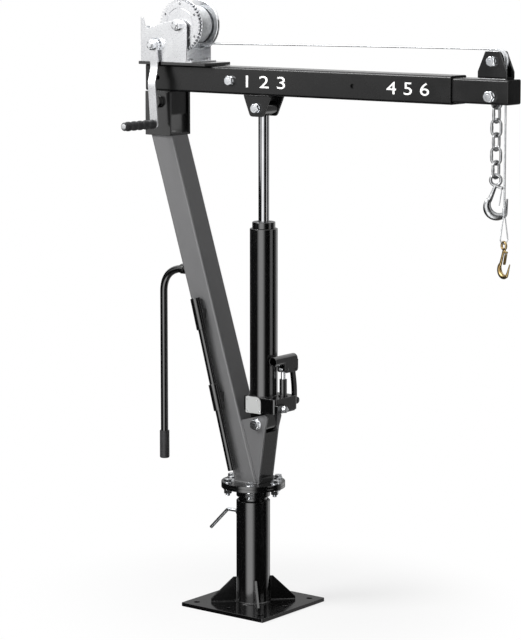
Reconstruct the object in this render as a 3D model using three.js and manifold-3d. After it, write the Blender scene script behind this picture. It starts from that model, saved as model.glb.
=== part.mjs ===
// Pickup truck crane: a post on a square base, a leaning mast, a tilting telescopic boom held up by a
// hydraulic jack, a hand winch with its rope, and a chain with a slip hook.
// Millimetres. Origin at the centre of the base plate's underside, +Z up, +X along the boom.
import * as THREE from 'three';
import { mergeVertices } from 'three/addons/utils/BufferGeometryUtils.js';
import Module from 'manifold-3d';

const wasm = await Module();
wasm.setup();

// Clearances
const gap = 0.3;
const slideGap = 1;
const overrun = 5;
const barSides = 12;
const mergeTolerance = 0.0003;

// Base
const plateWidth = 270;
const plateThick = 10;
const plateHole = 16;
const plateHoleInset = 29;
const postDiameter = 88.9;
const postWall = 5;
const postTop = 284;
const postChamfer = 3;
const gussetReach = 112;
const gussetHeight = 65;
const gussetThick = 6;
const gussetToe = 8;

// Lock bolt
const lockHeight = 244;
const lockRod = 9;
const lockBend = 13.5;
const lockStraight = 47;
const lockDrop = 58;
const lockNutFlats = 17;
const lockNutDepth = 9;

// Swivel tube and flanges
const swivelDiameter = 76;
const swivelWall = 5;
const collarGap = 9;
const collarHeight = 24;
const collarBottom = postTop + collarGap;
const flangeBottom = collarBottom + collarHeight;
const flangeDiameter = 168;
const flangeThick = 8;
const flangeMiddle = flangeBottom + flangeThick;
const flangeTop = flangeMiddle + flangeThick;
const flangeBoltInset = 12.5;
const flangeBoltCircle = flangeDiameter - 2 * flangeBoltInset;
const flangeBoltCount = 6;
const flangeBolt = 12;
const flangeBoltFlats = 18;
const flangeBoltHead = 7.5;
const flangeNut = 10;
const flangeBoltTail = 6;
const washerDiameter = 23;
const washerThick = 2.4;

// Mast
const mastWidth = 70;
const mastWall = 4;
const mastCorner = 6;
const mastLean = 17.35;
const leanSlope = Math.tan(THREE.MathUtils.degToRad(mastLean));
const mastHeight = 898;
const mastTop = flangeTop + mastHeight;
const weldGap = 0.3;

// Jack bracket on the mast's foot
const jackX = 35;
const jackPivotRise = 158.4;
const jackPivotHeight = flangeTop + jackPivotRise;
const bracketWidth = 62;
const bracketThick = 6;
const bracketBackRise = 6.2;
const bracketFrontRise = 31.6;
const bracketFrontLead = 39;
const bracketWaistDrop = 11.4;
const bracketWaistLead = 27;
const bracketWebDrop = 21.4;
const bracketFootRise = 14;
const bracketFootLead = 8;
const bracketBackTop = jackPivotHeight + bracketBackRise;
const bracketFrontTop = jackPivotHeight + bracketFrontRise;
const bracketFrontReach = jackX + bracketFrontLead;
const bracketWaistHeight = jackPivotHeight - bracketWaistDrop;
const bracketWaistReach = jackX + bracketWaistLead;
const bracketWebTop = jackPivotHeight - bracketWebDrop;
const bracketFootHeight = flangeTop + bracketFootRise;
const bracketFootReach = jackX + bracketFootLead;
const bracketCorner = 14;

// Jack
const jackBolt = 16;
const jackBoltFlats = 24;
const jackBoltHead = 10;
const jackLugHalf = 25;
const jackLugWidth = 48;
const jackBlockRise = 36.6;
const jackBlockHeight = 37;
const jackBlockBottom = jackPivotHeight + jackBlockRise;
const jackBlockTop = jackBlockBottom + jackBlockHeight;
const jackBlockBehind = 38;
const jackBlockAhead = 69;
const jackBlockBack = jackX - jackBlockBehind;
const jackBlockFront = jackX + jackBlockAhead;
const jackBlockNear = -41;
const jackBlockFar = 56;
const jackFootPlate = 3;
const jackCylinder = 72.5;
const jackCylinderWall = 8;
const jackCylinderLength = 438;
const jackCylinderTop = jackBlockTop + jackCylinderLength;
const jackGland = 60;
const jackGlandHeight = 17.5;
const jackGlandSeat = 8;
const ramDiameter = 28;
const ramBolt = 14;
const ramBoltFlats = 22;
const ramBoltHead = 9;
const ramEyeHalfLength = 27;
const ramEyeHalfHeight = 17;
const ramEyeWidth = 46;
const ramEyePlay = 12;
const ramEyeRise = 2.5;
const ramDepth = 300;

// Pump on the jack's base
const pumpAhead = 50;
const pumpX = jackX + pumpAhead;
const pumpY = 18;
const pumpBarrel = 19.5;
const pumpBarrelLength = 41;
const pumpBoss = 25;
const pumpBossHeight = 4;
const pumpBossTop = jackBlockTop + pumpBossHeight;
const pumpBarrelTop = pumpBossTop + pumpBarrelLength;
const pumpPlunger = 12;
const pumpPlungerDepth = 30;
const pumpPinRise = 26;
const pumpPinHeight = pumpBarrelTop + pumpPinRise;
const pumpPin = 8;
const pumpPinPlay = 4;
const pumpEyeRadius = 7;
const pumpEyeWidth = 12;
const socketTube = 26;
const socketWall = 3;
const socketRise = 24;
const socketHeight = pumpPinHeight + socketRise;
const socketNear = -27;
const socketFar = 64;
const socketPinReach = 39;
const socketPinY = pumpY + socketPinReach;
const socketEarThick = 4;
const socketEarWidth = 26;
const socketEarRadius = 9;
const socketFarFloor = 4;
const linkPinOut = 10;
const linkPinY = jackBlockFar + linkPinOut;
const linkPinRise = 20;
const linkPinHeight = jackBlockBottom + linkPinRise;
const linkWidth = 14;
const linkThick = 9;
const linkBow = 7;
const linkLugThick = 5;
const linkLugRadius = 9;
const valveY = -22;
const valveStem = 10;
const valveKnob = 16;
const valveKnobLength = 14;
const valveWing = 22;
const valveWingThick = 5;
const valveBlockHeight = 22;
const valveBlockDepth = 8;
const valveBlockHalf = 18;

// Mast head
const headWidth = 84;
const headThick = 6;
const headFloor = 6;
const boomPivotSetback = 3.44;
const boomPivotRise = 90;
const boomPivotX = -leanSlope * mastHeight - boomPivotSetback;
const boomPivotHeight = mastTop + boomPivotRise;
const headBehind = 45;
const headAhead = 40;
const headBack = boomPivotX - headBehind;
const headFront = boomPivotX + headAhead;
const boomPivotBolt = 20;
const boomPivotFlats = 30;
const boomPivotHead = 10;

// Swing handle on the mast's back
const swingRod = 20;
const swingHeight = 875;
const swingReach = 97;
const swingStub = 35;
const swingCollar = 27;
const swingCollarLength = 12;
const swingSink = 7;
const swingLevel = swingHeight - swingSink;
const swingBend = 60;
const swingLength = 445;
const swingBottom = swingHeight - swingLength;
const swingGripRod = 26;
const swingGripLength = 75;

// Stored pump handle along the mast's near side
const storedRod = 20;
const storedTopX = -153;
const storedTopHeight = 810;
const storedBottomX = -31;
const storedBottomHeight = 364;
const storedStandOff = 3;
const storedSleeve = 27;
const storedUpperLength = 80;
const storedLowerLength = 70;
const storedUpperShare = 0.06;
const storedLowerShare = 0.5;

// Outer boom
const boomWidth = 70;
const boomWall = 4;
const boomCorner = 6;
const boomAxisRise = 62;
const boomAxisHeight = boomPivotHeight + boomAxisRise;
const boomBehind = 49;
const boomBack = boomPivotX - boomBehind;
const boomLength = 964;
const boomFront = boomBack + boomLength;
const headTop = boomAxisHeight - boomWidth / 2 - slideGap;
const boomLugBehind = 36;
const boomLugAhead = 34;
const boomLugBack = boomPivotX - boomLugBehind;
const boomLugFront = boomPivotX + boomLugAhead;
const boomLugWidth = 64;
const boomLugDrop = 36;
const ramPivotDrop = 68.4;
const ramPivotHeight = boomAxisHeight - ramPivotDrop;
const ramBracketBehind = 41;
const ramBracketAhead = 43;
const ramBracketTip = 21;
const ramBracketBack = jackX - ramBracketBehind;
const ramBracketFront = jackX + ramBracketAhead;
const ramBracketTipBack = jackX - ramBracketTip;
const ramBracketTipFront = jackX + ramBracketTip;
const ramBracketUnder = 21.6;
const ramBracketBottom = ramPivotHeight - ramBracketUnder;
const ramBracketCorner = 10;
const boomRearHole = 12;
const boomRearHoleBehind = 7;
const boomRearHoleX = boomPivotX - boomRearHoleBehind;
const boomLockReach = 285;
const boomLockX = boomBack + boomLockReach;
const boomLockTravel = 388;
const boomLockBolt = 12;
const boomLockFlats = 22;
const boomLockHead = 8;

// Inner boom
const innerWidth = 60;
const innerWall = 4;
const innerCorner = 5;
const innerTail = 24;
const innerCap = 3;
const ropeSlotLength = 24;
const ropeSlotWidth = 16;
const chainSlotLength = 48;
const chainSlotWidth = 40;

// Sheave bracket
const sheaveX = 738;
const innerEndAhead = 52;
const innerEnd = sheaveX + innerEndAhead;
const sheavePad = 6;
const sheaveBase = 82;
const sheaveBack = sheaveX - sheaveBase / 2;
const sheaveFront = sheaveX + sheaveBase / 2;
const sheaveWidth = 36;
const sheavePlate = 5;
const sheaveStep = 12;
const sheaveCrown = 40;
const sheaveBoltRise = 37;
const sheavePadBottom = boomAxisHeight + innerWidth / 2;
const sheavePadTop = sheavePadBottom + sheavePad;
const sheaveBoltHeight = sheavePadTop + sheaveBoltRise;
const sheaveCrownRise = 24;
const sheaveTopHeight = sheaveBoltHeight + sheaveCrownRise;
const sheavePitch = 28;
const sheaveRimLip = 2.5;
const sheaveFace = 20;
const sheaveBolt = 14;
const sheaveBoltFlats = 22;
const sheaveBoltHead = 8;

// Chain and slip hook
const chainAhead = 3;
const chainX = sheaveX + chainAhead;
const chainBolt = 16;
const chainBoltDrop = 11;
const chainBoltHeight = boomAxisHeight - chainBoltDrop;
const chainBoltFlats = 24;
const chainBoltHead = 10;
const chainWire = 7;
const chainPitch = 34;
const chainWidth = 33;
const chainLinks = 6;
const chainPlay = 0.4;
const slipHook = {
  eye: 17,
  eyeWire: 8,
  bowl: 21,
  drop: 63,
  shift: 5,
  wire: 9,
  tipRise: 18,
  tipReach: 28,
  latchDrop: 24,
  latchSide: 14,
  latchLength: 38,
  latchWidth: 12,
  latchThick: 2,
  latchTilt: -8,
  turn: 28,
};

// Rope
const rope = 5;
const ropeSides = 8;
const ropeHang = 352;
const ropeBottom = sheaveBoltHeight - ropeHang;
const ferruleLength = 20;
const ferruleWidth = 9;
const ropeLoopWidth = 26;
const ropeLoopTurn = 80;
const ropeLoopDrop = 87;
const ropeLoopBottom = ropeBottom - ropeLoopDrop;

// Rope hook
const liftHook = {
  eye: 12,
  eyeWire: 6,
  bowl: 15,
  drop: 57,
  shift: 1,
  wire: 7,
  tipRise: 14,
  tipReach: 25,
  latchDrop: 19,
  latchSide: 9,
  latchLength: 28,
  latchWidth: 8,
  latchThick: 1.5,
  latchTilt: -14,
  turn: -22,
};
const hookThinShare = 0.55;
const hookTipShare = 0.2;
const latchLugShare = 0.35;
const ferruleFlatShare = 0.8;
const loopWireShare = 0.6;

// Winch
const winchPlateBehind = 7;
const winchPlateLength = 225;
const winchPlateBack = boomBack - winchPlateBehind;
const winchPlateFront = winchPlateBack + winchPlateLength;
const winchPlateThick = 8;
const winchPlateTop = boomAxisHeight + boomWidth / 2 + winchPlateThick;
const winchPlateNear = -57;
const winchPlateFar = 52;
const winchReach = 132;
const winchRise = 95.8;
const winchX = winchPlateBack + winchReach;
const winchHeight = winchPlateTop + winchRise;
const winchSheet = 3;
const frameNear = -51;
const frameFar = 45;
const frameBack = winchPlateBack + winchPlateBehind;
const frameLength = 173;
const frameFront = frameBack + frameLength;
const frameProng = 115;
const frameProngWidth = 8;
const frameShelf = 88;
const frameShelfLength = 34;
const frameSlope = 71;
const frameSlopeRise = 4;
const frameShaftRound = 14;
const frameEdgeAhead = 30;
const frameEdgeRise = 3;
const ratchetWheel = 38;
const ratchetThick = 6.4;
const drumCore = 88;
const drumFlange = 138;
const drumInside = 66;
const drumFlangeThick = 2.5;
const drumCentreY = 0;
const drumShaft = 16;
const drumHub = 26;
const gearModule = 3;
const gearTeeth = 44;
const pinionTeeth = 16;
const gearThick = 6;
const gearOffset = -41;
const gearGroove = 45;
const gearGrooveWidth = 3;
const gearGrooveDepth = 1.5;
const gearHole = 6;
const gearHoleCircle = 56;
const gearHoleCount = 6;
const pinionFace = 6;
const pinionShaft = 15;
const pinionSide = 35.2;
const shaftNut = 24;
const shaftNutHeight = 9;
const ropeTurns = 11;
const ropeTurnPitch = 5.45;
const ropeCentreRadius = 47.4;
const drumRopeReach = 50;
const crankLength = 207;
const crankSwing = 3.9;
const crankWidth = 25;
const crankThick = 5;
const crankHubY = -62;
const crankOffset = 14;
const crankBendTop = 60;
const crankBendLength = 40;
const gripDiameter = 25;
const gripLength = 118;
const gripPin = 10;
const gripPinHead = 15;
const gripPinHeadThick = 3;
const gripRibs = 5;
const gripRibDepth = 1.5;
const pawlLength = 48;
const pawlWidth = 12;
const pawlThick = 6;
const pawlPin = 8;
const pawlSide = 188;
const toothTipShare = 0.8;
const toothRootShare = 1.15;
const toothTipHalfShare = 0.12;
const toothRootHalfShare = 0.3;
const gripRibShare = 0.6;

// Finishes
function finish(color, roughness, metalness) {
  return new THREE.MeshStandardMaterial({ color, roughness, metalness });
}
const blackPaint = () => finish(0x151617, 0.28, 0.1);
const zinc = () => finish(0xc9ccce, 0.35, 0.9);
const chrome = () => finish(0xdfe3e6, 0.08, 1);
const brass = () => finish(0xb89a5a, 0.35, 0.9);
const rubber = () => finish(0x141414, 0.7, 0);

const crane = new THREE.Group();

// Solids from closed geometries
function toSolid(geometry) {
  const bare = geometry.index ? geometry.toNonIndexed() : geometry.clone();
  bare.deleteAttribute('normal');
  bare.deleteAttribute('uv');
  const merged = mergeVertices(bare, mergeTolerance);
  const vertProperties = new Float32Array(merged.attributes.position.array);
  const triVerts = new Uint32Array(merged.index.array);
  const corner = [0, 1, 2].map(() => new THREE.Vector3());
  let volume = 0;
  for (let i = 0; i < triVerts.length; i += 3) {
    corner.forEach((point, k) => point.fromArray(vertProperties, 3 * triVerts[i + k]));
    volume += corner[0].dot(corner[1].clone().cross(corner[2]));
  }
  if (volume < 0) {
    for (let i = 0; i < triVerts.length; i += 3) {
      [triVerts[i], triVerts[i + 1]] = [triVerts[i + 1], triVerts[i]];
    }
  }
  return new wasm.Manifold(new wasm.Mesh({ numProp: 3, vertProperties, triVerts }));
}

function join(...solids) {
  return solids.reduce((whole, solid) => whole.add(solid));
}

function cut(solid, ...tools) {
  return tools.reduce((rest, tool) => rest.subtract(tool), solid);
}

// A named mesh from a solid that is given in its parent's frame, with its origin moved to a pivot
function put(parent, name, solid, material, at = [0, 0, 0]) {
  const cutMesh = solid.getMesh();
  const geometry = new THREE.BufferGeometry();
  const points = new THREE.BufferAttribute(new Float32Array(cutMesh.vertProperties), 3);
  geometry.setAttribute('position', points);
  geometry.setIndex(new THREE.BufferAttribute(new Uint32Array(cutMesh.triVerts), 1));
  geometry.translate(-at[0], -at[1], -at[2]);
  geometry.computeVertexNormals();
  const mesh = new THREE.Mesh(geometry, material);
  mesh.name = name;
  mesh.position.set(...at);
  parent.add(mesh);
  return mesh;
}

function box(x0, x1, y0, y1, z0, z1) {
  const geometry = new THREE.BoxGeometry(x1 - x0, y1 - y0, z1 - z0);
  return toSolid(geometry.translate((x0 + x1) / 2, (y0 + y1) / 2, (z0 + z1) / 2));
}

// Round or hexagonal bars along each axis
function bar(radius, from, to, sides) {
  const geometry = new THREE.CylinderGeometry(radius, radius, to - from, sides);
  return geometry.rotateX(Math.PI / 2).translate(0, 0, (from + to) / 2);
}
function barZ(diameter, z0, z1, x = 0, y = 0, sides = barSides) {
  return toSolid(bar(diameter / 2, z0, z1, sides).translate(x, y, 0));
}
function barY(diameter, y0, y1, x = 0, z = 0, sides = barSides) {
  return toSolid(bar(diameter / 2, -y1, -y0, sides).rotateX(Math.PI / 2).translate(x, 0, z));
}
function barX(diameter, x0, x1, y = 0, z = 0, sides = barSides) {
  return toSolid(bar(diameter / 2, x0, x1, sides).rotateY(Math.PI / 2).translate(0, y, z));
}
function acrossCorners(flats) {
  return flats / Math.cos(Math.PI / 6);
}
// A bore whose flats clear the corners of a bar that turns in it
function runningBore(diameter) {
  return (diameter + 2 * gap) / Math.cos(Math.PI / barSides);
}

// A flat outline in the XZ plane, as thick as y0 to y1; in the YZ plane, as thick as x0 to x1
function slabY(shape, y0, y1, curveSegments = 4) {
  const geometry = new THREE.ExtrudeGeometry(shape, {
    depth: y1 - y0, bevelEnabled: false, curveSegments,
  });
  return toSolid(geometry.rotateX(Math.PI / 2).translate(0, y1, 0));
}
function slabX(shape, x0, x1, curveSegments = 4) {
  const geometry = new THREE.ExtrudeGeometry(shape, {
    depth: x1 - x0, bevelEnabled: false, curveSegments,
  });
  const turn = new THREE.Matrix4().makeBasis(
    new THREE.Vector3(0, 1, 0), new THREE.Vector3(0, 0, 1), new THREE.Vector3(1, 0, 0));
  return toSolid(geometry.applyMatrix4(turn).translate(x0, 0, 0));
}

// An outline through corner points, each rounded by its own radius where it has one
function outline(corners) {
  const shape = new THREE.Shape();
  const count = corners.length;
  corners.forEach(([x, y, radius = 0], i) => {
    const here = new THREE.Vector2(x, y);
    const back = new THREE.Vector2(...corners[(i + count - 1) % count]);
    const ahead = new THREE.Vector2(...corners[(i + 1) % count]);
    const start = here.clone().add(back.sub(here).normalize().multiplyScalar(radius));
    const end = here.clone().add(ahead.sub(here).normalize().multiplyScalar(radius));
    if (i === 0) shape.moveTo(start.x, start.y);
    else shape.lineTo(start.x, start.y);
    if (radius > 0) shape.quadraticCurveTo(x, y, end.x, end.y);
  });
  shape.closePath();
  return shape;
}

function roundedSquare(halfX, halfY, radius) {
  return outline([[-halfX, -halfY, radius], [halfX, -halfY, radius],
    [halfX, halfY, radius], [-halfX, halfY, radius]]);
}

// A hollow square section, from z0 to z1, stretched along X by the slope of its axis
function squareTube(width, wall, corner, length, stretch = 1) {
  const shape = roundedSquare(stretch * width / 2, width / 2, corner);
  const inner = width / 2 - wall;
  shape.holes.push(roundedSquare(stretch * inner, inner, corner - wall / 2));
  return new THREE.ExtrudeGeometry(shape, { depth: length, bevelEnabled: false, curveSegments: 2 });
}

function lathe(profile, segments = 30) {
  const points = profile.map(([radius, height]) => new THREE.Vector2(radius, height));
  const closed = profile[0][0] === 0 ? points : [...points, points[0]];
  return toSolid(new THREE.LatheGeometry(closed, segments).rotateX(Math.PI / 2));
}

// A round rod along a curve
function rod(curve, diameter, steps, sides = 10) {
  const section = new THREE.Shape();
  for (let i = 0; i < sides; i += 1) {
    const angle = 2 * Math.PI * i / sides;
    const x = diameter / 2 * Math.cos(angle);
    const y = diameter / 2 * Math.sin(angle);
    if (i === 0) section.moveTo(x, y);
    else section.lineTo(x, y);
  }
  section.closePath();
  return toSolid(new THREE.ExtrudeGeometry(section, { steps, extrudePath: curve, bevelEnabled: false }));
}

// A tube through rings of points, with a radius at each; a closed one joins its end to its start
function ringTube(points, radii, sides, closed = false) {
  const count = points.length;
  const positions = [];
  let side = null;
  const rings = points.map((point, i) => {
    const before = points[closed ? (i + count - 1) % count : Math.max(i - 1, 0)];
    const after = points[closed ? (i + 1) % count : Math.min(i + 1, count - 1)];
    const along = after.clone().sub(before).normalize();
    if (!side) {
      side = Math.abs(along.y) < Math.SQRT1_2 ? new THREE.Vector3(0, 1, 0) : new THREE.Vector3(1, 0, 0);
    }
    side = side.clone().sub(along.clone().multiplyScalar(side.dot(along))).normalize();
    const up = along.clone().cross(side);
    return Array.from({ length: sides }, (_, k) => {
      const angle = 2 * Math.PI * (k + 1 / 2) / sides;
      return point.clone()
        .add(side.clone().multiplyScalar(radii[i] * Math.cos(angle)))
        .add(up.clone().multiplyScalar(radii[i] * Math.sin(angle)));
    });
  });
  const face = (a, b, c) => [a, b, c].forEach((point) => positions.push(point.x, point.y, point.z));
  for (let i = 0; i < (closed ? count : count - 1); i += 1) {
    const next = rings[(i + 1) % count];
    for (let k = 0; k < sides; k += 1) {
      const turn = (k + 1) % sides;
      face(rings[i][k], rings[i][turn], next[turn]);
      face(rings[i][k], next[turn], next[k]);
    }
  }
  if (!closed) {
    for (let k = 1; k < sides - 1; k += 1) {
      face(rings[0][0], rings[0][k + 1], rings[0][k]);
      face(rings[count - 1][0], rings[count - 1][k], rings[count - 1][k + 1]);
    }
  }
  const geometry = new THREE.BufferGeometry();
  geometry.setAttribute('position', new THREE.BufferAttribute(new Float32Array(positions), 3));
  return toSolid(geometry);
}

// A bolt along Y: hexagonal head and washer on the near side, nut and tail on the far side
function boltY(x, z, half, shank, flats, head, washer) {
  const face = half + gap;
  return join(
    barY(shank, -face - overrun, face + head + overrun, x, z, 12),
    barY(washer, -face - washerThick, -face, x, z),
    barY(acrossCorners(flats), -face - washerThick - head, -face - washerThick, x, z, 6),
    barY(acrossCorners(flats), face, face + head, x, z, 6),
  );
}

// Base plate
function basePlate() {
  const half = plateWidth / 2;
  const reach = half - plateHoleInset;
  let solid = box(-half, half, -half, half, 0, plateThick);
  for (const x of [-reach, 0, reach]) {
    for (const y of [-reach, 0, reach]) {
      if (x !== 0 || y !== 0) solid = cut(solid, barZ(plateHole, -overrun, plateThick + overrun, x, y, 12));
    }
  }
  return solid;
}

// Post with the nut that the lock bolt screws into
const postRadius = postDiameter / 2;
const postBore = postRadius - postWall;
function basePost() {
  const tube = lathe([
    [postBore, plateThick], [postRadius, plateThick], [postRadius, postTop - postChamfer],
    [postRadius - postChamfer, postTop], [postBore, postTop],
  ]);
  const nut = barX(acrossCorners(lockNutFlats), -postRadius - lockNutDepth, -postRadius + postWall / 2,
    0, lockHeight, 6);
  const tapped = barX(lockRod + 2 * gap, -postRadius - lockNutDepth - overrun, -postBore + overrun,
    0, lockHeight, 16);
  return cut(join(tube, nut), tapped);
}

function gusset() {
  const inside = postRadius + gap;
  const shape = outline([
    [inside, plateThick], [gussetReach, plateThick], [gussetReach, plateThick + gussetToe],
    [inside + gussetToe, plateThick + gussetHeight], [inside, plateThick + gussetHeight],
  ]);
  return slabY(shape, -gussetThick / 2, gussetThick / 2);
}

// Lock bolt, with its bar bent down at its outer end
const swivelRadius = swivelDiameter / 2;
function lockBolt() {
  const tip = -swivelRadius - gap;
  const bend = new THREE.Vector3(tip - lockStraight, 0, lockHeight);
  const end = new THREE.Vector3(bend.x - lockDrop, 0, lockHeight - lockDrop);
  const start = new THREE.Vector3(tip, 0, lockHeight);
  const before = bend.clone().add(start.clone().sub(bend).setLength(lockBend));
  const after = bend.clone().add(end.clone().sub(bend).setLength(lockBend));
  const path = new THREE.CurvePath();
  path.add(new THREE.LineCurve3(start, before));
  path.add(new THREE.QuadraticBezierCurve3(before, bend, after));
  path.add(new THREE.LineCurve3(after, end));
  return rod(path, lockRod, 12, 8);
}

put(crane, 'base_plate', basePlate(), blackPaint());
put(crane, 'base_post', basePost(), blackPaint());
['gusset_right', 'gusset_back', 'gusset_left', 'gusset_front'].forEach((name, i) => {
  const mesh = put(crane, name, gusset(), blackPaint());
  mesh.rotation.z = Math.PI / 4 + i * Math.PI / 2;
});
put(crane, 'lock_bolt', lockBolt(), zinc(), [-swivelRadius - gap, 0, lockHeight]);

// Swivel tube with its collar and lower flange
const flangeRadius = flangeDiameter / 2;
function flangeHoles(solid, z0, z1) {
  let rest = solid;
  for (let i = 0; i < flangeBoltCount; i += 1) {
    const angle = 2 * Math.PI * i / flangeBoltCount;
    const x = flangeBoltCircle / 2 * Math.cos(angle);
    const y = flangeBoltCircle / 2 * Math.sin(angle);
    rest = cut(rest, barZ(flangeBolt + 2 * gap, z0 - overrun, z1 + overrun, x, y, 8));
  }
  return rest;
}

function swivelTube() {
  const bore = swivelRadius - swivelWall;
  const solid = lathe([
    [bore, plateThick + gap], [swivelRadius, plateThick + gap], [swivelRadius, collarBottom],
    [postRadius, collarBottom], [postRadius, flangeBottom], [flangeRadius, flangeBottom],
    [flangeRadius, flangeMiddle], [bore, flangeMiddle],
  ]);
  return flangeHoles(solid, flangeBottom, flangeMiddle);
}

function flangeBoltSolid() {
  const corners = acrossCorners(flangeBoltFlats);
  const headBottom = flangeTop + washerThick;
  const nutTop = flangeBottom - washerThick;
  return join(
    barZ(flangeBolt, nutTop - flangeNut - flangeBoltTail, headBottom + overrun, 0, 0, 8),
    barZ(washerDiameter, flangeTop, headBottom, 0, 0, 10),
    barZ(corners, headBottom, headBottom + flangeBoltHead, 0, 0, 6),
    barZ(washerDiameter, nutTop, flangeBottom, 0, 0, 10),
    barZ(corners, nutTop - flangeNut, nutTop, 0, 0, 6),
  );
}

const turret = new THREE.Group();
crane.add(turret);
put(turret, 'swivel_tube', swivelTube(), blackPaint());
for (let i = 0; i < flangeBoltCount; i += 1) {
  const angle = 2 * Math.PI * i / flangeBoltCount;
  const mesh = put(turret, `flange_bolt_${i + 1}`, flangeBoltSolid(), zinc());
  mesh.position.x = flangeBoltCircle / 2 * Math.cos(angle);
  mesh.position.y = flangeBoltCircle / 2 * Math.sin(angle);
}

// Mast: a flange plate, and a tube whose axis leans back and whose ends are cut level
const leanStretch = 1 / Math.cos(THREE.MathUtils.degToRad(mastLean));
const mastHalf = mastWidth / 2;
const mastFoot = flangeTop + weldGap;
const mastAxisX = (z) => -leanSlope * (z - flangeTop);
const mastFaceX = (z) => mastAxisX(z) + leanStretch * mastHalf;
const mastBackX = (z) => mastAxisX(z) - leanStretch * mastHalf;
function mastTube() {
  const foot = flangeTop - weldGap;
  const geometry = squareTube(mastWidth, mastWall, mastCorner, mastTop - weldGap - foot, leanStretch);
  const shear = new THREE.Matrix4().set(
    1, 0, -leanSlope, mastAxisX(foot), 0, 1, 0, 0, 0, 0, 1, foot, 0, 0, 0, 1);
  const flange = barZ(flangeDiameter, flangeMiddle, flangeTop, 0, 0, 30);
  return join(flangeHoles(flange, flangeMiddle, flangeTop), toSolid(geometry.applyMatrix4(shear)));
}

// Jack bracket: two cheeks welded to the mast's front face, with a web between them
const bracketHalf = bracketWidth / 2;
function jackBracket() {
  const cheek = outline([
    [mastFaceX(mastFoot) + weldGap, mastFoot],
    [bracketFootReach, mastFoot],
    [bracketFootReach, bracketFootHeight],
    [bracketWaistReach, bracketWaistHeight, bracketCorner],
    [bracketFrontReach, bracketFrontTop, bracketCorner],
    [mastFaceX(bracketBackTop) + weldGap, bracketBackTop],
  ]);
  const reachAt = (z) => bracketFootReach + (bracketWaistReach - bracketFootReach)
    * (z - bracketFootHeight) / (bracketWaistHeight - bracketFootHeight);
  const web = outline([
    [bracketFootReach - bracketThick, mastFoot], [bracketFootReach, mastFoot],
    [bracketFootReach, bracketFootHeight], [reachAt(bracketWebTop), bracketWebTop],
    [reachAt(bracketWebTop) - bracketThick, bracketWebTop],
    [bracketFootReach - bracketThick, bracketFootHeight],
  ]);
  const inside = bracketHalf - bracketThick;
  const solid = join(
    slabY(cheek, -bracketHalf, -inside),
    slabY(cheek, inside, bracketHalf),
    slabY(web, -inside - gap, inside + gap),
  );
  const face = slabY(outline([
    [mastFaceX(mastFoot) + weldGap, mastFoot], [mastAxisX(mastFoot), mastFoot],
    [mastAxisX(bracketFrontTop), bracketFrontTop], [mastFaceX(bracketFrontTop) + weldGap, bracketFrontTop],
  ]), -bracketHalf - overrun, bracketHalf + overrun);
  return cut(solid, face, barY(jackBolt + 2 * gap, -mastWidth, mastWidth, jackX, jackPivotHeight));
}

// Mast head: a floor plate on the mast's top, with two cheeks that hold the boom's pivot
const headHalf = headWidth / 2;
function mastHead() {
  const inside = headHalf - headThick;
  const solid = join(
    box(headBack, headFront, -headHalf, headHalf, mastTop, mastTop + headFloor),
    box(headBack, headFront, -headHalf, -inside, mastTop, headTop),
    box(headBack, headFront, inside, headHalf, mastTop, headTop),
  );
  return cut(solid,
    barY(boomPivotBolt + 2 * gap, -headWidth, headWidth, boomPivotX, boomPivotHeight));
}

// Swing handle: a rod that leaves the mast's back face and hangs down beside it
function swingHandle() {
  const root = new THREE.Vector3(mastBackX(swingHeight) - weldGap, 0, swingHeight);
  const outer = root.x - swingReach;
  const corner = new THREE.Vector3(outer, 0, swingLevel);
  const before = new THREE.Vector3(root.x - swingStub, 0, swingHeight);
  const after = new THREE.Vector3(outer, 0, swingLevel - swingBend);
  const end = new THREE.Vector3(outer, 0, swingBottom);
  const path = new THREE.CurvePath();
  path.add(new THREE.LineCurve3(root, before));
  path.add(new THREE.QuadraticBezierCurve3(before, corner, after));
  path.add(new THREE.LineCurve3(after, end));
  const flatFoot = slabY(outline([
    [mastAxisX(swingHeight - swingRod), swingHeight - swingRod],
    [mastAxisX(swingHeight + swingRod), swingHeight + swingRod],
    [mastBackX(swingHeight + swingRod) - weldGap, swingHeight + swingRod],
    [mastBackX(swingHeight - swingRod) - weldGap, swingHeight - swingRod],
  ]), -swingRod, swingRod);
  const collar = barX(swingCollar, root.x - swingStub, root.x - swingStub + swingCollarLength, 0, swingHeight);
  return cut(join(rod(path, swingRod, 16, 8), collar), flatFoot);
}

function swingGrip() {
  const x = mastBackX(swingHeight) - weldGap - swingReach;
  const solid = barZ(swingGripRod, swingBottom - swingGripLength, swingBottom, x, 0, 16);
  const inside = barZ(swingRod + 2 * gap, swingBottom - gap, swingBottom + overrun, x, 0, 20);
  return cut(solid, inside);
}

// Stored pump handle: a rod in two sleeves, close along the mast's near side
function storedHandle() {
  const y = -mastHalf - storedStandOff - storedSleeve / 2;
  const top = new THREE.Vector3(storedTopX, y, storedTopHeight);
  const bottom = new THREE.Vector3(storedBottomX, y, storedBottomHeight);
  const along = bottom.clone().sub(top);
  const length = along.length();
  const turn = new THREE.Quaternion().setFromUnitVectors(
    new THREE.Vector3(0, 0, -1), along.clone().normalize());
  const piece = (diameter, from, to) => {
    const geometry = bar(diameter / 2, -to, -from, barSides);
    return toSolid(geometry.applyQuaternion(turn).translate(top.x, top.y, top.z));
  };
  const upper = storedUpperShare * length;
  const lower = storedLowerShare * length;
  const clip = (at) => {
    const middle = top.clone().lerp(bottom, at / length);
    return box(middle.x - storedSleeve / 2, middle.x + storedSleeve / 2, y, -mastHalf - weldGap,
      middle.z - storedSleeve / 2, middle.z + storedSleeve / 2);
  };
  return join(
    piece(storedRod, 0, length),
    piece(storedSleeve, upper, upper + storedUpperLength),
    piece(storedSleeve, lower, lower + storedLowerLength),
    clip(upper + storedUpperLength / 2),
    clip(lower + storedLowerLength / 2),
  );
}

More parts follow.
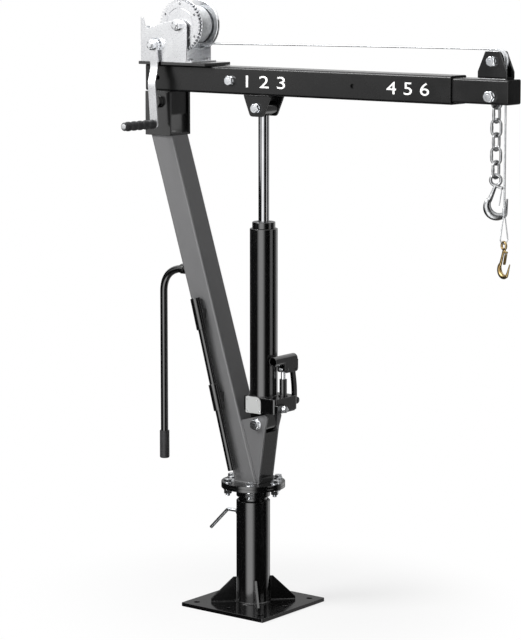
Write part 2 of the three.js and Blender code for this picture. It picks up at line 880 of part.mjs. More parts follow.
put(turret, 'mast_tube', mastTube(), blackPaint());
put(turret, 'jack_bracket', jackBracket(), blackPaint());
put(turret, 'mast_head', mastHead(), blackPaint());
put(turret, 'swing_handle', swingHandle(), blackPaint());
put(turret, 'swing_grip', swingGrip(), rubber());
put(turret, 'pump_handle', storedHandle(), blackPaint());
put(turret, 'boom_pivot_bolt', boltY(boomPivotX, boomPivotHeight, headHalf, boomPivotBolt,
  boomPivotFlats, boomPivotHead, boomPivotFlats), blackPaint());
put(turret, 'jack_pivot_bolt', boltY(jackX, jackPivotHeight, bracketHalf, jackBolt,
  jackBoltFlats, jackBoltHead, jackBoltFlats + washerThick), zinc());

// Jack: foot and base block, with the pump's barrel and the link's lugs
const jack = new THREE.Group();
turret.add(jack);
const jackRadius = jackCylinder / 2;
function jackBase() {
  const lug = outline([
    [jackX - jackLugHalf, jackBlockBottom], [jackX - jackLugHalf, jackPivotHeight],
    [jackX - jackLugHalf, jackPivotHeight - jackLugHalf, jackLugHalf],
    [jackX + jackLugHalf, jackPivotHeight - jackLugHalf, jackLugHalf],
    [jackX + jackLugHalf, jackPivotHeight], [jackX + jackLugHalf, jackBlockBottom],
  ]);
  const lugHalf = jackLugWidth / 2;
  const linkY = linkPinY;
  const ear = outline([
    [jackBlockFar - overrun, linkPinHeight - linkLugRadius],
    [linkY + linkLugRadius, linkPinHeight - linkLugRadius, linkLugRadius],
    [linkY + linkLugRadius, linkPinHeight + linkLugRadius, linkLugRadius],
    [jackBlockFar - overrun, linkPinHeight + linkLugRadius],
  ]);
  const earIn = linkThick / 2 + slideGap;
  const solid = join(
    slabY(lug, -lugHalf, lugHalf),
    box(jackBlockBack + jackFootPlate, jackBlockFront - jackFootPlate, jackBlockNear + jackFootPlate,
      jackBlockFar - jackFootPlate, jackBlockBottom - jackFootPlate, jackBlockBottom + gap),
    box(jackBlockBack, jackBlockFront, jackBlockNear, jackBlockFar, jackBlockBottom, jackBlockTop),
    box(jackBlockFront - overrun, jackBlockFront + valveBlockDepth, valveY - valveBlockHalf,
      valveY + valveBlockHalf, jackBlockBottom, jackBlockBottom + valveBlockHeight),
    barZ(pumpBoss, jackBlockTop - overrun, pumpBossTop, pumpX, pumpY),
    barZ(pumpBarrel, pumpBossTop - overrun, pumpBarrelTop, pumpX, pumpY),
    slabX(ear, pumpX - earIn - linkLugThick, pumpX - earIn),
    slabX(ear, pumpX + earIn, pumpX + earIn + linkLugThick),
    barX(pumpPin, pumpX - earIn - linkLugThick, pumpX + earIn + linkLugThick, linkY, linkPinHeight, 12),
  );
  return cut(solid,
    barY(jackBolt + 2 * gap, -mastWidth, mastWidth, jackX, jackPivotHeight),
    barZ(pumpPlunger + 2 * gap, pumpBarrelTop - pumpPlungerDepth - overrun - pumpPlungerDepth,
      pumpBarrelTop + overrun, pumpX, pumpY, 16),
    barX(valveStem + 2 * gap, jackBlockFront - overrun, jackBlockFront + valveBlockDepth + overrun,
      valveY, jackBlockBottom + valveBlockHeight / 2, 16),
  );
}

function jackTube() {
  const bore = jackRadius - jackCylinderWall;
  return lathe([
    [bore, jackBlockTop], [jackRadius, jackBlockTop], [jackRadius, jackCylinderTop],
    [bore, jackCylinderTop],
  ], 24).translate([jackX, 0, 0]);
}

function jackGlandNut() {
  const bore = jackRadius - jackCylinderWall - gap;
  const hole = ramDiameter / 2 + gap;
  return lathe([
    [hole, jackCylinderTop - jackGlandSeat], [bore, jackCylinderTop - jackGlandSeat],
    [bore, jackCylinderTop], [jackGland / 2, jackCylinderTop],
    [jackGland / 2, jackCylinderTop + jackGlandHeight], [hole, jackCylinderTop + jackGlandHeight],
  ], 16).translate([jackX, 0, 0]);
}

// Ram with its eye, whose hole is long enough for the boom's arc
function jackRam() {
  const eye = outline([
    [jackX - ramEyeHalfLength, ramPivotHeight - ramEyeHalfHeight, ramEyeHalfHeight],
    [jackX + ramEyeHalfLength, ramPivotHeight - ramEyeHalfHeight, ramEyeHalfHeight],
    [jackX + ramEyeHalfLength, ramPivotHeight + ramEyeHalfHeight, ramEyeHalfHeight],
    [jackX - ramEyeHalfLength, ramPivotHeight + ramEyeHalfHeight, ramEyeHalfHeight],
  ]);
  const holeX = ramBolt / 2 + ramEyePlay;
  const holeZ = ramBolt / 2 + ramEyeRise;
  const hole = outline([
    [jackX - holeX, ramPivotHeight - holeZ, holeZ], [jackX + holeX, ramPivotHeight - holeZ, holeZ],
    [jackX + holeX, ramPivotHeight + holeZ, holeZ], [jackX - holeX, ramPivotHeight + holeZ, holeZ],
  ]);
  const half = ramEyeWidth / 2;
  return cut(
    join(
      slabY(eye, -half, half),
      barZ(ramDiameter, jackCylinderTop - ramDepth, ramPivotHeight - ramEyeHalfHeight + overrun, jackX, 0, 24),
    ),
    slabY(hole, -half - overrun, half + overrun),
  );
}

put(jack, 'jack_base', jackBase(), blackPaint());
put(jack, 'jack_cylinder', jackTube(), blackPaint());
put(jack, 'jack_gland', jackGlandNut(), blackPaint());
put(jack, 'jack_ram', jackRam(), chrome(), [jackX, 0, ramPivotHeight]);

// Pump plunger, handle socket, link and release valve
function pumpPlungerRod() {
  const eye = outline([
    [pumpY - pumpEyeRadius - pumpPinPlay, pumpPinHeight - pumpEyeRadius, pumpEyeRadius],
    [pumpY + pumpEyeRadius + pumpPinPlay, pumpPinHeight - pumpEyeRadius, pumpEyeRadius],
    [pumpY + pumpEyeRadius + pumpPinPlay, pumpPinHeight + pumpEyeRadius, pumpEyeRadius],
    [pumpY - pumpEyeRadius - pumpPinPlay, pumpPinHeight + pumpEyeRadius, pumpEyeRadius],
  ]);
  const play = pumpPin / 2 + gap;
  const slot = outline([
    [pumpY - play - pumpPinPlay, pumpPinHeight - play - gap, play],
    [pumpY + play + pumpPinPlay, pumpPinHeight - play - gap, play],
    [pumpY + play + pumpPinPlay, pumpPinHeight + play + gap, play],
    [pumpY - play - pumpPinPlay, pumpPinHeight + play + gap, play],
  ]);
  return cut(
    join(
      slabX(eye, pumpX - pumpEyeWidth / 2, pumpX + pumpEyeWidth / 2),
      barZ(pumpPlunger, pumpBarrelTop - pumpPlungerDepth, pumpPinHeight - pumpEyeRadius + gap,
        pumpX, pumpY, 16),
    ),
    slabX(slot, pumpX - pumpEyeWidth, pumpX + pumpEyeWidth),
  );
}

function handleSocket() {
  const bottom = pumpPinHeight - socketEarRadius;
  const ear = outline([
    [pumpY - socketEarRadius, socketHeight], [pumpY - socketEarRadius, bottom, socketEarRadius],
    [socketPinY + socketEarRadius, bottom, socketEarRadius],
    [socketPinY + socketEarRadius, socketHeight, socketEarRadius / 2],
  ]);
  const half = socketEarWidth / 2;
  const bore = socketTube - 2 * socketWall;
  const tube = cut(
    barY(socketTube, socketNear, socketFar, pumpX, socketHeight),
    barY(bore, socketNear - overrun, socketFar - socketFarFloor, pumpX, socketHeight),
  );
  const clear = barY(bore, socketNear, socketFar - socketFarFloor, pumpX, socketHeight);
  const ears = cut(
    join(
      slabX(ear, pumpX - half, pumpX - half + socketEarThick),
      slabX(ear, pumpX + half - socketEarThick, pumpX + half),
    ),
    clear,
  );
  return join(
    tube, ears,
    barX(pumpPin, pumpX - half, pumpX + half, pumpY, pumpPinHeight, 12),
    barX(pumpPin, pumpX - half, pumpX + half, socketPinY, pumpPinHeight, 12),
  );
}

function pumpLink() {
  const half = linkWidth / 2;
  const middle = (linkPinHeight + pumpPinHeight) / 2;
  const shape = new THREE.Shape();
  shape.moveTo(linkPinY - half, linkPinHeight);
  shape.bezierCurveTo(linkPinY - half, middle, socketPinY - half + linkBow, middle,
    socketPinY - half, pumpPinHeight);
  shape.quadraticCurveTo(socketPinY - half, pumpPinHeight + half, socketPinY, pumpPinHeight + half);
  shape.quadraticCurveTo(socketPinY + half, pumpPinHeight + half, socketPinY + half, pumpPinHeight);
  shape.bezierCurveTo(socketPinY + half + linkBow, middle, linkPinY + half, middle,
    linkPinY + half, linkPinHeight);
  shape.quadraticCurveTo(linkPinY + half, linkPinHeight - half, linkPinY, linkPinHeight - half);
  shape.quadraticCurveTo(linkPinY - half, linkPinHeight - half, linkPinY - half, linkPinHeight);
  const reach = linkThick / 2;
  const hole = pumpPin + 2 * gap;
  return cut(slabX(shape, pumpX - reach, pumpX + reach),
    barX(hole, pumpX - linkThick, pumpX + linkThick, linkPinY, linkPinHeight, 12),
    barX(hole, pumpX - linkThick, pumpX + linkThick, socketPinY, pumpPinHeight, 12));
}

function releaseValve() {
  const z = jackBlockBottom + valveBlockHeight / 2;
  const face = jackBlockFront + valveBlockDepth + gap;
  const wing = valveWing / 2;
  const thick = valveWingThick / 2;
  return join(
    barX(valveStem, jackBlockFront - overrun + gap, face + overrun, valveY, z, 12),
    barX(valveKnob, face, face + valveKnobLength, valveY, z, 16),
    box(face + valveKnobLength / 2, face + valveKnobLength, valveY - wing, valveY + wing, z - thick, z + thick),
  );
}

const valveAxis = jackBlockBottom + valveBlockHeight / 2;
put(jack, 'pump_plunger', pumpPlungerRod(), zinc(), [pumpX, pumpY, pumpPinHeight]);
put(jack, 'handle_socket', handleSocket(), blackPaint(), [pumpX, socketPinY, pumpPinHeight]);
put(jack, 'pump_link', pumpLink(), blackPaint(), [pumpX, linkPinY, linkPinHeight]);
put(jack, 'release_valve', releaseValve(), zinc(), [jackBlockFront, valveY, valveAxis]);

// Outer boom: square tube, pivot lug at its back and bracket for the ram under it
const boom = new THREE.Group();
turret.add(boom);
const boomHalf = boomWidth / 2;
const boomUnder = boomAxisHeight - boomHalf;
const boomOver = boomAxisHeight + boomHalf;
function tubeX(width, wall, corner, x0, x1) {
  const geometry = squareTube(width, wall, corner, x1 - x0);
  return toSolid(geometry.rotateY(Math.PI / 2).translate(x0, 0, boomAxisHeight));
}

function boomOuter() {
  const lugHalf = boomLugWidth / 2;
  const inside = bracketHalf - bracketThick;
  const top = boomUnder + boomWall / 2;
  const cheek = outline([
    [ramBracketBack, top], [ramBracketBack, boomUnder - boomWall],
    [ramBracketTipBack, ramBracketBottom, ramBracketCorner],
    [ramBracketTipFront, ramBracketBottom, ramBracketCorner],
    [ramBracketFront, boomUnder - boomWall], [ramBracketFront, top],
  ]);
  const solid = join(
    tubeX(boomWidth, boomWall, boomCorner, boomBack, boomFront),
    box(boomLugBack, boomLugFront, -lugHalf, lugHalf, boomPivotHeight - boomLugDrop, top),
    slabY(cheek, -bracketHalf, -inside),
    slabY(cheek, inside, bracketHalf),
  );
  const through = (diameter, x, z) => barY(diameter, -boomWidth, boomWidth, x, z);
  return cut(solid,
    through(runningBore(boomPivotBolt), boomPivotX, boomPivotHeight),
    through(ramBolt + 2 * gap, jackX, ramPivotHeight),
    through(boomRearHole, boomRearHoleX, boomAxisHeight),
    through(boomLockBolt + 2 * gap, boomLockX, boomAxisHeight),
    through(boomLockBolt + 2 * gap, boomLockX + boomLockTravel, boomAxisHeight),
  );
}

put(boom, 'boom_outer', boomOuter(), blackPaint());
put(boom, 'ram_bolt', boltY(jackX, ramPivotHeight, bracketHalf, ramBolt,
  ramBoltFlats, ramBoltHead, ramBoltFlats), zinc());
put(boom, 'boom_lock_bolt', boltY(boomLockX, boomAxisHeight, boomHalf, boomLockBolt,
  boomLockFlats, boomLockHead, boomLockFlats), zinc());

// Inner boom: square tube with a closed front end, a rear notch round the lock bolt,
// and slots for the rope and the chain
const inner = new THREE.Group();
boom.add(inner);
const innerHalf = innerWidth / 2;
const innerBack = boomLockX - innerTail;
const ropeDropX = sheaveX + sheavePitch;
function ropeSlot(z0, z1) {
  return box(ropeDropX - ropeSlotLength / 2, ropeDropX + ropeSlotLength / 2,
    -ropeSlotWidth / 2, ropeSlotWidth / 2, z0, z1);
}

function boomInner() {
  const notch = boomLockBolt / 2 + slideGap;
  const under = boomAxisHeight - innerHalf;
  const capHalf = innerHalf - innerWall / 2;
  const solid = join(
    tubeX(innerWidth, innerWall, innerCorner, innerBack, innerEnd),
    box(innerEnd - innerCap, innerEnd, -capHalf, capHalf, boomAxisHeight - capHalf, boomAxisHeight + capHalf),
  );
  return cut(solid,
    box(innerBack - overrun, boomLockX, -innerWidth, innerWidth, boomAxisHeight - notch, boomAxisHeight + notch),
    barY(2 * notch, -innerWidth, innerWidth, boomLockX, boomAxisHeight, 16),
    ropeSlot(under - overrun, sheavePadBottom + overrun),
    box(chainX - chainSlotLength / 2, chainX + chainSlotLength / 2, -chainSlotWidth / 2, chainSlotWidth / 2,
      under - overrun, under + innerWall + overrun),
    barY(chainBolt + 2 * gap, -innerWidth, innerWidth, chainX, chainBoltHeight, 20),
  );
}

// Sheave bracket: pad on the inner boom with two cheeks
const sheaveHalf = sheaveWidth / 2;
function sheaveBracket() {
  const cheek = outline([
    [sheaveBack, sheavePadTop - sheavePad / 2], [sheaveFront, sheavePadTop - sheavePad / 2],
    [sheaveFront, sheavePadTop + sheaveStep], [sheaveX + sheaveCrown / 2, sheaveTopHeight, sheavePlate],
    [sheaveX - sheaveCrown / 2, sheaveTopHeight, sheavePlate], [sheaveBack, sheavePadTop + sheaveStep],
  ]);
  const inside = sheaveHalf - sheavePlate;
  const solid = join(
    box(sheaveBack, sheaveFront, -sheaveHalf, sheaveHalf, sheavePadBottom, sheavePadTop),
    slabY(cheek, -sheaveHalf, -inside),
    slabY(cheek, inside, sheaveHalf),
  );
  return cut(solid, ropeSlot(sheavePadBottom - overrun, sheavePadTop + overrun),
    barY(sheaveBolt + 2 * gap, -sheaveWidth, sheaveWidth, sheaveX, sheaveBoltHeight));
}

// Sheave: a grooved wheel turning on its bolt
const ropeRadius = rope / 2;
function sheaveWheel() {
  const half = sheaveFace / 2;
  const rim = sheavePitch + sheaveRimLip;
  const floor = sheavePitch - ropeRadius - slideGap;
  const bore = sheaveBolt / 2 + gap;
  const profile = [
    [bore, -half], [rim, -half], [rim, -ropeRadius - slideGap - sheaveRimLip / 2],
    [floor, -ropeRadius - gap], [floor, ropeRadius + gap],
    [rim, ropeRadius + slideGap + sheaveRimLip / 2], [rim, half], [bore, half],
  ];
  const points = profile.map(([radius, y]) => new THREE.Vector2(radius, y));
  const geometry = new THREE.LatheGeometry([...points, points[0]], 22);
  return toSolid(geometry.translate(sheaveX, 0, sheaveBoltHeight));
}

put(inner, 'boom_inner', boomInner(), blackPaint());
put(inner, 'sheave_bracket', sheaveBracket(), blackPaint());
put(inner, 'sheave', sheaveWheel(), zinc(), [sheaveX, 0, sheaveBoltHeight]);
put(inner, 'sheave_bolt', boltY(sheaveX, sheaveBoltHeight, sheaveHalf, sheaveBolt,
  sheaveBoltFlats, sheaveBoltHead, sheaveBoltFlats), zinc());
put(inner, 'chain_bolt', boltY(chainX, chainBoltHeight, innerHalf, chainBolt,
  chainBoltFlats, chainBoltHead, chainBoltFlats + washerThick), zinc());

// Chain: the first link hangs on the bolt inside the boom, and each next one is turned a quarter
const wireRadius = chainWire / 2;
const linkStraight = chainPitch + chainWire - (chainWidth - chainWire);
const firstLinkTop = chainBoltHeight + chainBolt / 2 + gap + wireRadius;
const linkStep = chainPitch - chainPlay;
const linkTopZ = (i) => firstLinkTop - i * linkStep;
function chainLink(i) {
  const round = (chainWidth - chainWire) / 2;
  const top = linkTopZ(i);
  const points = [];
  const half = 7;
  for (let k = 0; k <= half; k += 1) {
    const angle = Math.PI * k / half;
    points.push([round * Math.cos(angle), top - round + round * Math.sin(angle)]);
  }
  for (let k = 0; k <= half; k += 1) {
    const angle = Math.PI + Math.PI * k / half;
    points.push([round * Math.cos(angle), top - round - linkStraight + round * Math.sin(angle)]);
  }
  const ring = points.map(([side, z]) => (i % 2 === 0
    ? new THREE.Vector3(chainX + side, 0, z) : new THREE.Vector3(chainX, side, z)));
  return ringTube(ring, ring.map(() => wireRadius), 6, true);
}

for (let i = 0; i < chainLinks; i += 1) {
  put(inner, `chain_link_${i + 1}`, chainLink(i), zinc(), [chainX, 0, linkTopZ(i)]);
}

// Hooks: an eye, a bowl that tapers to its tip, and a latch strip from the shank to the tip
function hookBody(x, eyeZ, size) {
  const eyeRing = new THREE.TorusGeometry((size.eye + size.eyeWire) / 2, size.eyeWire / 2, 6, 14);
  const ring = toSolid(eyeRing.rotateX(Math.PI / 2).translate(x, 0, eyeZ));
  const centre = new THREE.Vector3(x + size.shift, 0, eyeZ - size.drop);
  const radius = size.bowl + size.wire / 2;
  const points = [new THREE.Vector3(x, 0, eyeZ - (size.eye + size.eyeWire) / 2)];
  const radii = [size.eyeWire / 2];
  const bowlSteps = 10;
  for (let k = 0; k <= bowlSteps; k += 1) {
    const share = k / bowlSteps;
    const angle = Math.PI * (3 / 4 + share);
    const spoke = new THREE.Vector3(Math.cos(angle), 0, Math.sin(angle)).multiplyScalar(radius);
    points.push(centre.clone().add(spoke));
    radii.push(size.wire * (hookThinShare + (1 - hookThinShare) * Math.sin(Math.PI * share)));
  }
  points.push(new THREE.Vector3(x + size.tipReach, 0, centre.z + size.tipRise));
  radii.push(size.wire * hookTipShare);
  const curve = new THREE.CatmullRomCurve3(points, false, 'centripetal');
  const steps = 18;
  const spaced = curve.getPoints(steps);
  const spacedRadii = spaced.map((_, k) => {
    const at = (points.length - 1) * k / steps;
    const low = Math.min(Math.floor(at), points.length - 2);
    return radii[low] + (radii[low + 1] - radii[low]) * (at - low);
  });
  const lugRadius = size.latchWidth * latchLugShare;
  const lug = ringTube([
    new THREE.Vector3(x, 0, eyeZ - (size.eye + size.eyeWire) / 2),
    new THREE.Vector3(x + size.latchSide, 0, eyeZ - size.latchDrop + lugRadius + gap),
  ], [lugRadius, lugRadius], 8);
  const halfWidth = size.latchWidth / 2;
  const barrel = barY(2 * lugRadius, -halfWidth, halfWidth, x + size.latchSide,
    eyeZ - size.latchDrop + lugRadius + gap);
  return join(ring, ringTube(spaced, spacedRadii, 8), lug, barrel);
}

function hookLatch(x, eyeZ, size) {
  const rootZ = eyeZ - size.latchDrop;
  const rootX = x + size.latchSide;
  const geometry = new THREE.BoxGeometry(size.latchThick, size.latchWidth, size.latchLength);
  const tilt = THREE.MathUtils.degToRad(size.latchTilt);
  geometry.translate(0, 0, -size.latchLength / 2).rotateY(-tilt).translate(rootX, 0, rootZ);
  return { solid: toSolid(geometry), at: [rootX, 0, rootZ] };
}

// A hook and its latch, turned about the line that they hang on
function addHook(parent, name, x, eyeZ, size, material) {
  const hanger = new THREE.Group();
  hanger.position.set(x, 0, 0);
  hanger.rotation.z = THREE.MathUtils.degToRad(size.turn);
  parent.add(hanger);
  put(hanger, name, hookBody(0, eyeZ, size), material(), [0, 0, eyeZ]);
  const latch = hookLatch(0, eyeZ, size);
  put(hanger, `${name}_latch`, latch.solid, material(), latch.at);
}

const lastBarZ = linkTopZ(chainLinks - 1) - chainPitch - chainWire;
const chainHookEyeZ = lastBarZ + wireRadius + chainPlay - slipHook.eye / 2;
addHook(inner, 'chain_hook', chainX, chainHookEyeZ, slipHook, zinc);

// Rope from the drum to the sheave, and down over the sheave through both slots
const ropeStartX = winchX + Math.sqrt((drumRopeReach + rope + slideGap) ** 2 - drumRopeReach ** 2);
const ropeStartZ = winchHeight - ropeCentreRadius;
const sheaveTopZ = sheaveBoltHeight + sheavePitch;
const ropeRoute = [
  [ropeStartX, ropeStartZ], [-120, 1475.2], [24, 1477.2], [250, 1480], [462, 1482.2], [640, 1483.6],
  [sheaveX - gap, sheaveTopZ],
];
function ropeRun() {
  const points = ropeRoute.map(([x, z]) => new THREE.Vector3(x, 0, z));
  return rod(new THREE.CatmullRomCurve3(points), rope, 20, ropeSides);
}

function ropeDrop() {
  const path = new THREE.CurvePath();
  const corner = 12;
  const arc = [];
  for (let k = 0; k <= corner; k += 1) {
    const angle = Math.PI / 2 * (1 - k / corner);
    arc.push(new THREE.Vector3(
      sheaveX + sheavePitch * Math.cos(angle), 0, sheaveBoltHeight + sheavePitch * Math.sin(angle)));
  }
  path.add(new THREE.CatmullRomCurve3(arc));
  path.add(new THREE.LineCurve3(arc[corner], new THREE.Vector3(ropeDropX, 0, ropeBottom)));
  return rod(path, rope, 34, ropeSides);
}

// Rope's end: a pressed ferrule over a loop that holds the hook
function ropeEye() {
  const ferruleTop = ropeBottom - gap;
  const ferruleBottom = ferruleTop - ferruleLength;
  const round = ropeLoopWidth / 2;
  const low = ropeLoopBottom + round;
  const points = [new THREE.Vector3(ropeDropX - ropeRadius, 0, ferruleBottom + ropeRadius)];
  const arcSteps = 8;
  for (let k = 0; k <= arcSteps; k += 1) {
    const angle = Math.PI + Math.PI * k / arcSteps;
    points.push(new THREE.Vector3(
      ropeDropX + round * Math.cos(angle), 0, low + round * Math.sin(angle)));
  }
  points.push(new THREE.Vector3(ropeDropX + ropeRadius, 0, ferruleBottom + ropeRadius));
  const ferrule = box(ropeDropX - ferruleWidth / 2, ropeDropX + ferruleWidth / 2,
    -rope * ferruleFlatShare, rope * ferruleFlatShare, ferruleBottom, ferruleTop);
  return join(ferrule, ringTube(points, points.map(() => ropeRadius * loopWireShare), 8));
}

const ropeHookEyeZ = ropeLoopBottom + ropeRadius * loopWireShare + gap - liftHook.eye / 2;
const ropeEnd = put(inner, 'rope_eye', ropeEye(), zinc(), [ropeDropX, 0, ropeBottom]);
ropeEnd.rotation.z = THREE.MathUtils.degToRad(ropeLoopTurn);
addHook(inner, 'rope_hook', ropeDropX, ropeHookEyeZ, liftHook, brass);
put(boom, 'rope_run', ropeRun(), zinc());
put(inner, 'rope_drop', ropeDrop(), zinc());

// Winch plate and frame on the boom's rear top
const winch = new THREE.Group();
boom.add(winch);
function winchFrame() {
  const shelf = winchPlateTop;
  const cheek = outline([
    [frameBack, shelf], [frameBack, shelf + frameProng],
    [frameBack + frameProngWidth, shelf + frameProng, frameProngWidth / 2],
    [frameBack + 2 * frameProngWidth, shelf + frameShelf, frameProngWidth],
    [frameBack + frameShelfLength, shelf + frameShelf],
    [frameBack + frameSlope, winchHeight + frameSlopeRise],
    [winchX - frameShaftRound, winchHeight + frameShaftRound, frameShaftRound / 2],
    [winchX + frameShaftRound, winchHeight + frameShaftRound, frameShaftRound / 2],
    [winchX + frameEdgeAhead, winchHeight + frameEdgeRise],
    [winchX + frameEdgeAhead, shelf],
  ]);
  const solid = join(
    slabY(cheek, frameNear - winchSheet, frameNear),
    slabY(cheek, frameFar, frameFar + winchSheet),
    box(frameBack, frameFront, frameNear - winchSheet, frameFar + winchSheet, shelf, shelf + winchSheet),
  );
  return cut(solid,
    barY(drumShaft + 2 * gap, -boomWidth, boomWidth, winchX, winchHeight, 12),
    barY(pinionShaft + 2 * gap, -boomWidth, boomWidth, pinionX, pinionZ, 12),
  );
}

// Gear outlines: tooth tips narrow enough to run with play
function gearOutline(teeth, module, turn) {
  const pitch = teeth * module / 2;
  const outer = pitch + module * toothTipShare;
  const root = pitch - module * toothRootShare;
  const step = 2 * Math.PI / teeth;
  const shape = new THREE.Shape();
  for (let i = 0; i < teeth; i += 1) {
    const middle = turn + i * step;
    const corners = [
      [root, -toothRootHalfShare], [outer, -toothTipHalfShare],
      [outer, toothTipHalfShare], [root, toothRootHalfShare],
    ];
    corners.forEach(([radius, share], k) => {
      const angle = middle + share * step;
      const x = radius * Math.cos(angle);
      const y = radius * Math.sin(angle);
      if (i === 0 && k === 0) shape.moveTo(x, y);
      else shape.lineTo(x, y);
    });
  }
  shape.closePath();
  return shape;
}

// Drum with its two flanges and shaft; the big gear sits outside the near flange
function winchDrum() {
  const half = drumInside / 2;
  const near = frameNear - winchSheet - shaftNutHeight - gap;
  const far = frameFar + winchSheet + shaftNutHeight + gap;
  return join(
    barY(drumCore, -half - gap, half + gap, winchX, winchHeight, 24),
    barY(drumFlange, -half - drumFlangeThick, -half, winchX, winchHeight, 24),
    barY(drumFlange, half, half + drumFlangeThick, winchX, winchHeight, 24),
    barY(drumHub, half, frameFar - gap, winchX, winchHeight, 16),
    barY(drumShaft, near - overrun, far + overrun, winchX, winchHeight, 12),
    barY(acrossCorners(shaftNut), near, near + shaftNutHeight, winchX, winchHeight, 6),
    barY(acrossCorners(shaftNut), far - shaftNutHeight, far, winchX, winchHeight, 6),
  );
}

const gearLine = Math.PI + THREE.MathUtils.degToRad(pinionSide);
const gearCentres = (gearTeeth + pinionTeeth) * gearModule / 2;
const pinionX = winchX + gearCentres * Math.cos(gearLine);
const pinionZ = winchHeight + gearCentres * Math.sin(gearLine);
function winchGear() {
  const near = gearOffset - gearThick / 2;
  const far = gearOffset + gearThick / 2;
  const place = (solid) => solid.translate([winchX, 0, winchHeight]);
  let solid = place(slabY(gearOutline(gearTeeth, gearModule, gearLine), near, far));
  const ring = new THREE.Shape().absarc(0, 0, gearGroove + gearGrooveWidth / 2, 0, 2 * Math.PI);
  ring.holes.push(new THREE.Path().absarc(0, 0, gearGroove - gearGrooveWidth / 2, 0, 2 * Math.PI, true));
  solid = cut(solid, place(slabY(ring, near - overrun, near + gearGrooveDepth, 9)));
  for (let i = 0; i < gearHoleCount; i += 1) {
    const angle = 2 * Math.PI * (i + 1 / 2) / gearHoleCount;
    const x = winchX + gearHoleCircle * Math.cos(angle);
    const z = winchHeight + gearHoleCircle * Math.sin(angle);
    solid = cut(solid, barY(gearHole, near - overrun, far + overrun, x, z, 8));
  }
  return cut(solid, barY(drumShaft + 2 * gap, near - overrun, far + overrun, winchX, winchHeight, 12));
}

function pinion() {
  const turn = gearLine + Math.PI + Math.PI / pinionTeeth;
  const near = gearOffset - pinionFace / 2;
  const teeth = slabY(gearOutline(pinionTeeth, gearModule, turn), near, near + pinionFace);
  return join(
    teeth.translate([pinionX, 0, pinionZ]),
    barY(ratchetWheel, crankHubY + gap, crankHubY + gap + ratchetThick, pinionX, pinionZ, barSides),
    barY(pinionShaft, crankHubY - crankThick - overrun - shaftNutHeight, frameFar + winchSheet + overrun,
      pinionX, pinionZ, 12),
    barY(acrossCorners(shaftNut), crankHubY - crankThick - gap - shaftNutHeight,
      crankHubY - crankThick - gap, pinionX, pinionZ, 6),
  );
}

// Crank arm: a flat bar from the pinion shaft, bent outwards, with the grip's pin at its end
function crankArm() {
  const face = crankHubY - crankThick;
  const bent = face - crankOffset;
  const bendStart = pinionZ - crankBendTop;
  const bendEnd = bendStart - crankBendLength;
  const end = pinionZ - crankLength - crankWidth / 2;
  const side = new THREE.Shape();
  const corners = [
    [crankHubY, pinionZ + crankWidth / 2], [crankHubY, bendStart], [bent + crankThick, bendEnd],
    [bent + crankThick, end], [bent, end], [bent, bendEnd], [face, bendStart],
    [face, pinionZ + crankWidth / 2],
  ];
  corners.forEach(([y, z], i) => (i === 0 ? side.moveTo(y, z) : side.lineTo(y, z)));
  side.closePath();
  const arm = slabX(side, pinionX - crankWidth / 2, pinionX + crankWidth / 2);
  const hole = barY(pinionShaft + 2 * gap, face - overrun, crankHubY + overrun, pinionX, pinionZ, 12);
  const pinZ = pinionZ - crankLength;
  const pinEnd = bent - gripLength - 2 * gap - gripPinHeadThick;
  return join(
    cut(arm, hole),
    barY(gripPin, pinEnd, bent + crankThick, pinionX, pinZ, 16),
    barY(gripPinHead, pinEnd, pinEnd + gripPinHeadThick, pinionX, pinZ, 16),
  );
}

function crankGrip() {
  const start = crankHubY - crankThick - crankOffset - gap;
  const end = start - gripLength;
  const outer = gripDiameter / 2;
  const bore = gripPin / 2 + gap;
  const step = gripLength / gripRibs;
  const points = [[bore, start]];
  for (let i = 0; i < gripRibs; i += 1) {
    const y = start - i * step;
    points.push([outer, y], [outer, y - step * gripRibShare], [outer - gripRibDepth, y - step * gripRibShare],
      [outer - gripRibDepth, y - step]);
  }
  points.push([bore, end]);
  const profile = points.map(([radius, y]) => new THREE.Vector2(radius, y));
  const geometry = new THREE.LatheGeometry([...profile, profile[0]], 12);
  return toSolid(geometry.translate(pinionX, 0, pinionZ - crankLength));
}

// Pawl: a toothed lever on a pin of the frame, resting just clear of the gear
function winchPawl() {
  const reach = gearTeeth * gearModule / 2 + gearModule * toothTipShare + slideGap;
  const side = THREE.MathUtils.degToRad(pawlSide);
  const tipX = winchX + reach * Math.cos(side);
  const tipZ = winchHeight + reach * Math.sin(side);
  const pinX = tipX - pawlLength;
  const pinZ = tipZ;
  const half = pawlWidth / 2;
  const lever = outline([
    [pinX - half, pinZ - half, half], [pinX + half, pinZ - half], [tipX, tipZ],
    [tipX - half, tipZ + half], [pinX - half, pinZ + half, half],
  ]);
  const near = gearOffset - pawlThick / 2;
  return {
    solid: join(
      slabY(lever, near, near + pawlThick),
      barY(pawlPin, frameNear + gap, near + overrun, pinX, pinZ, 16),
    ),
    at: [pinX, gearOffset, pinZ],
  };
}

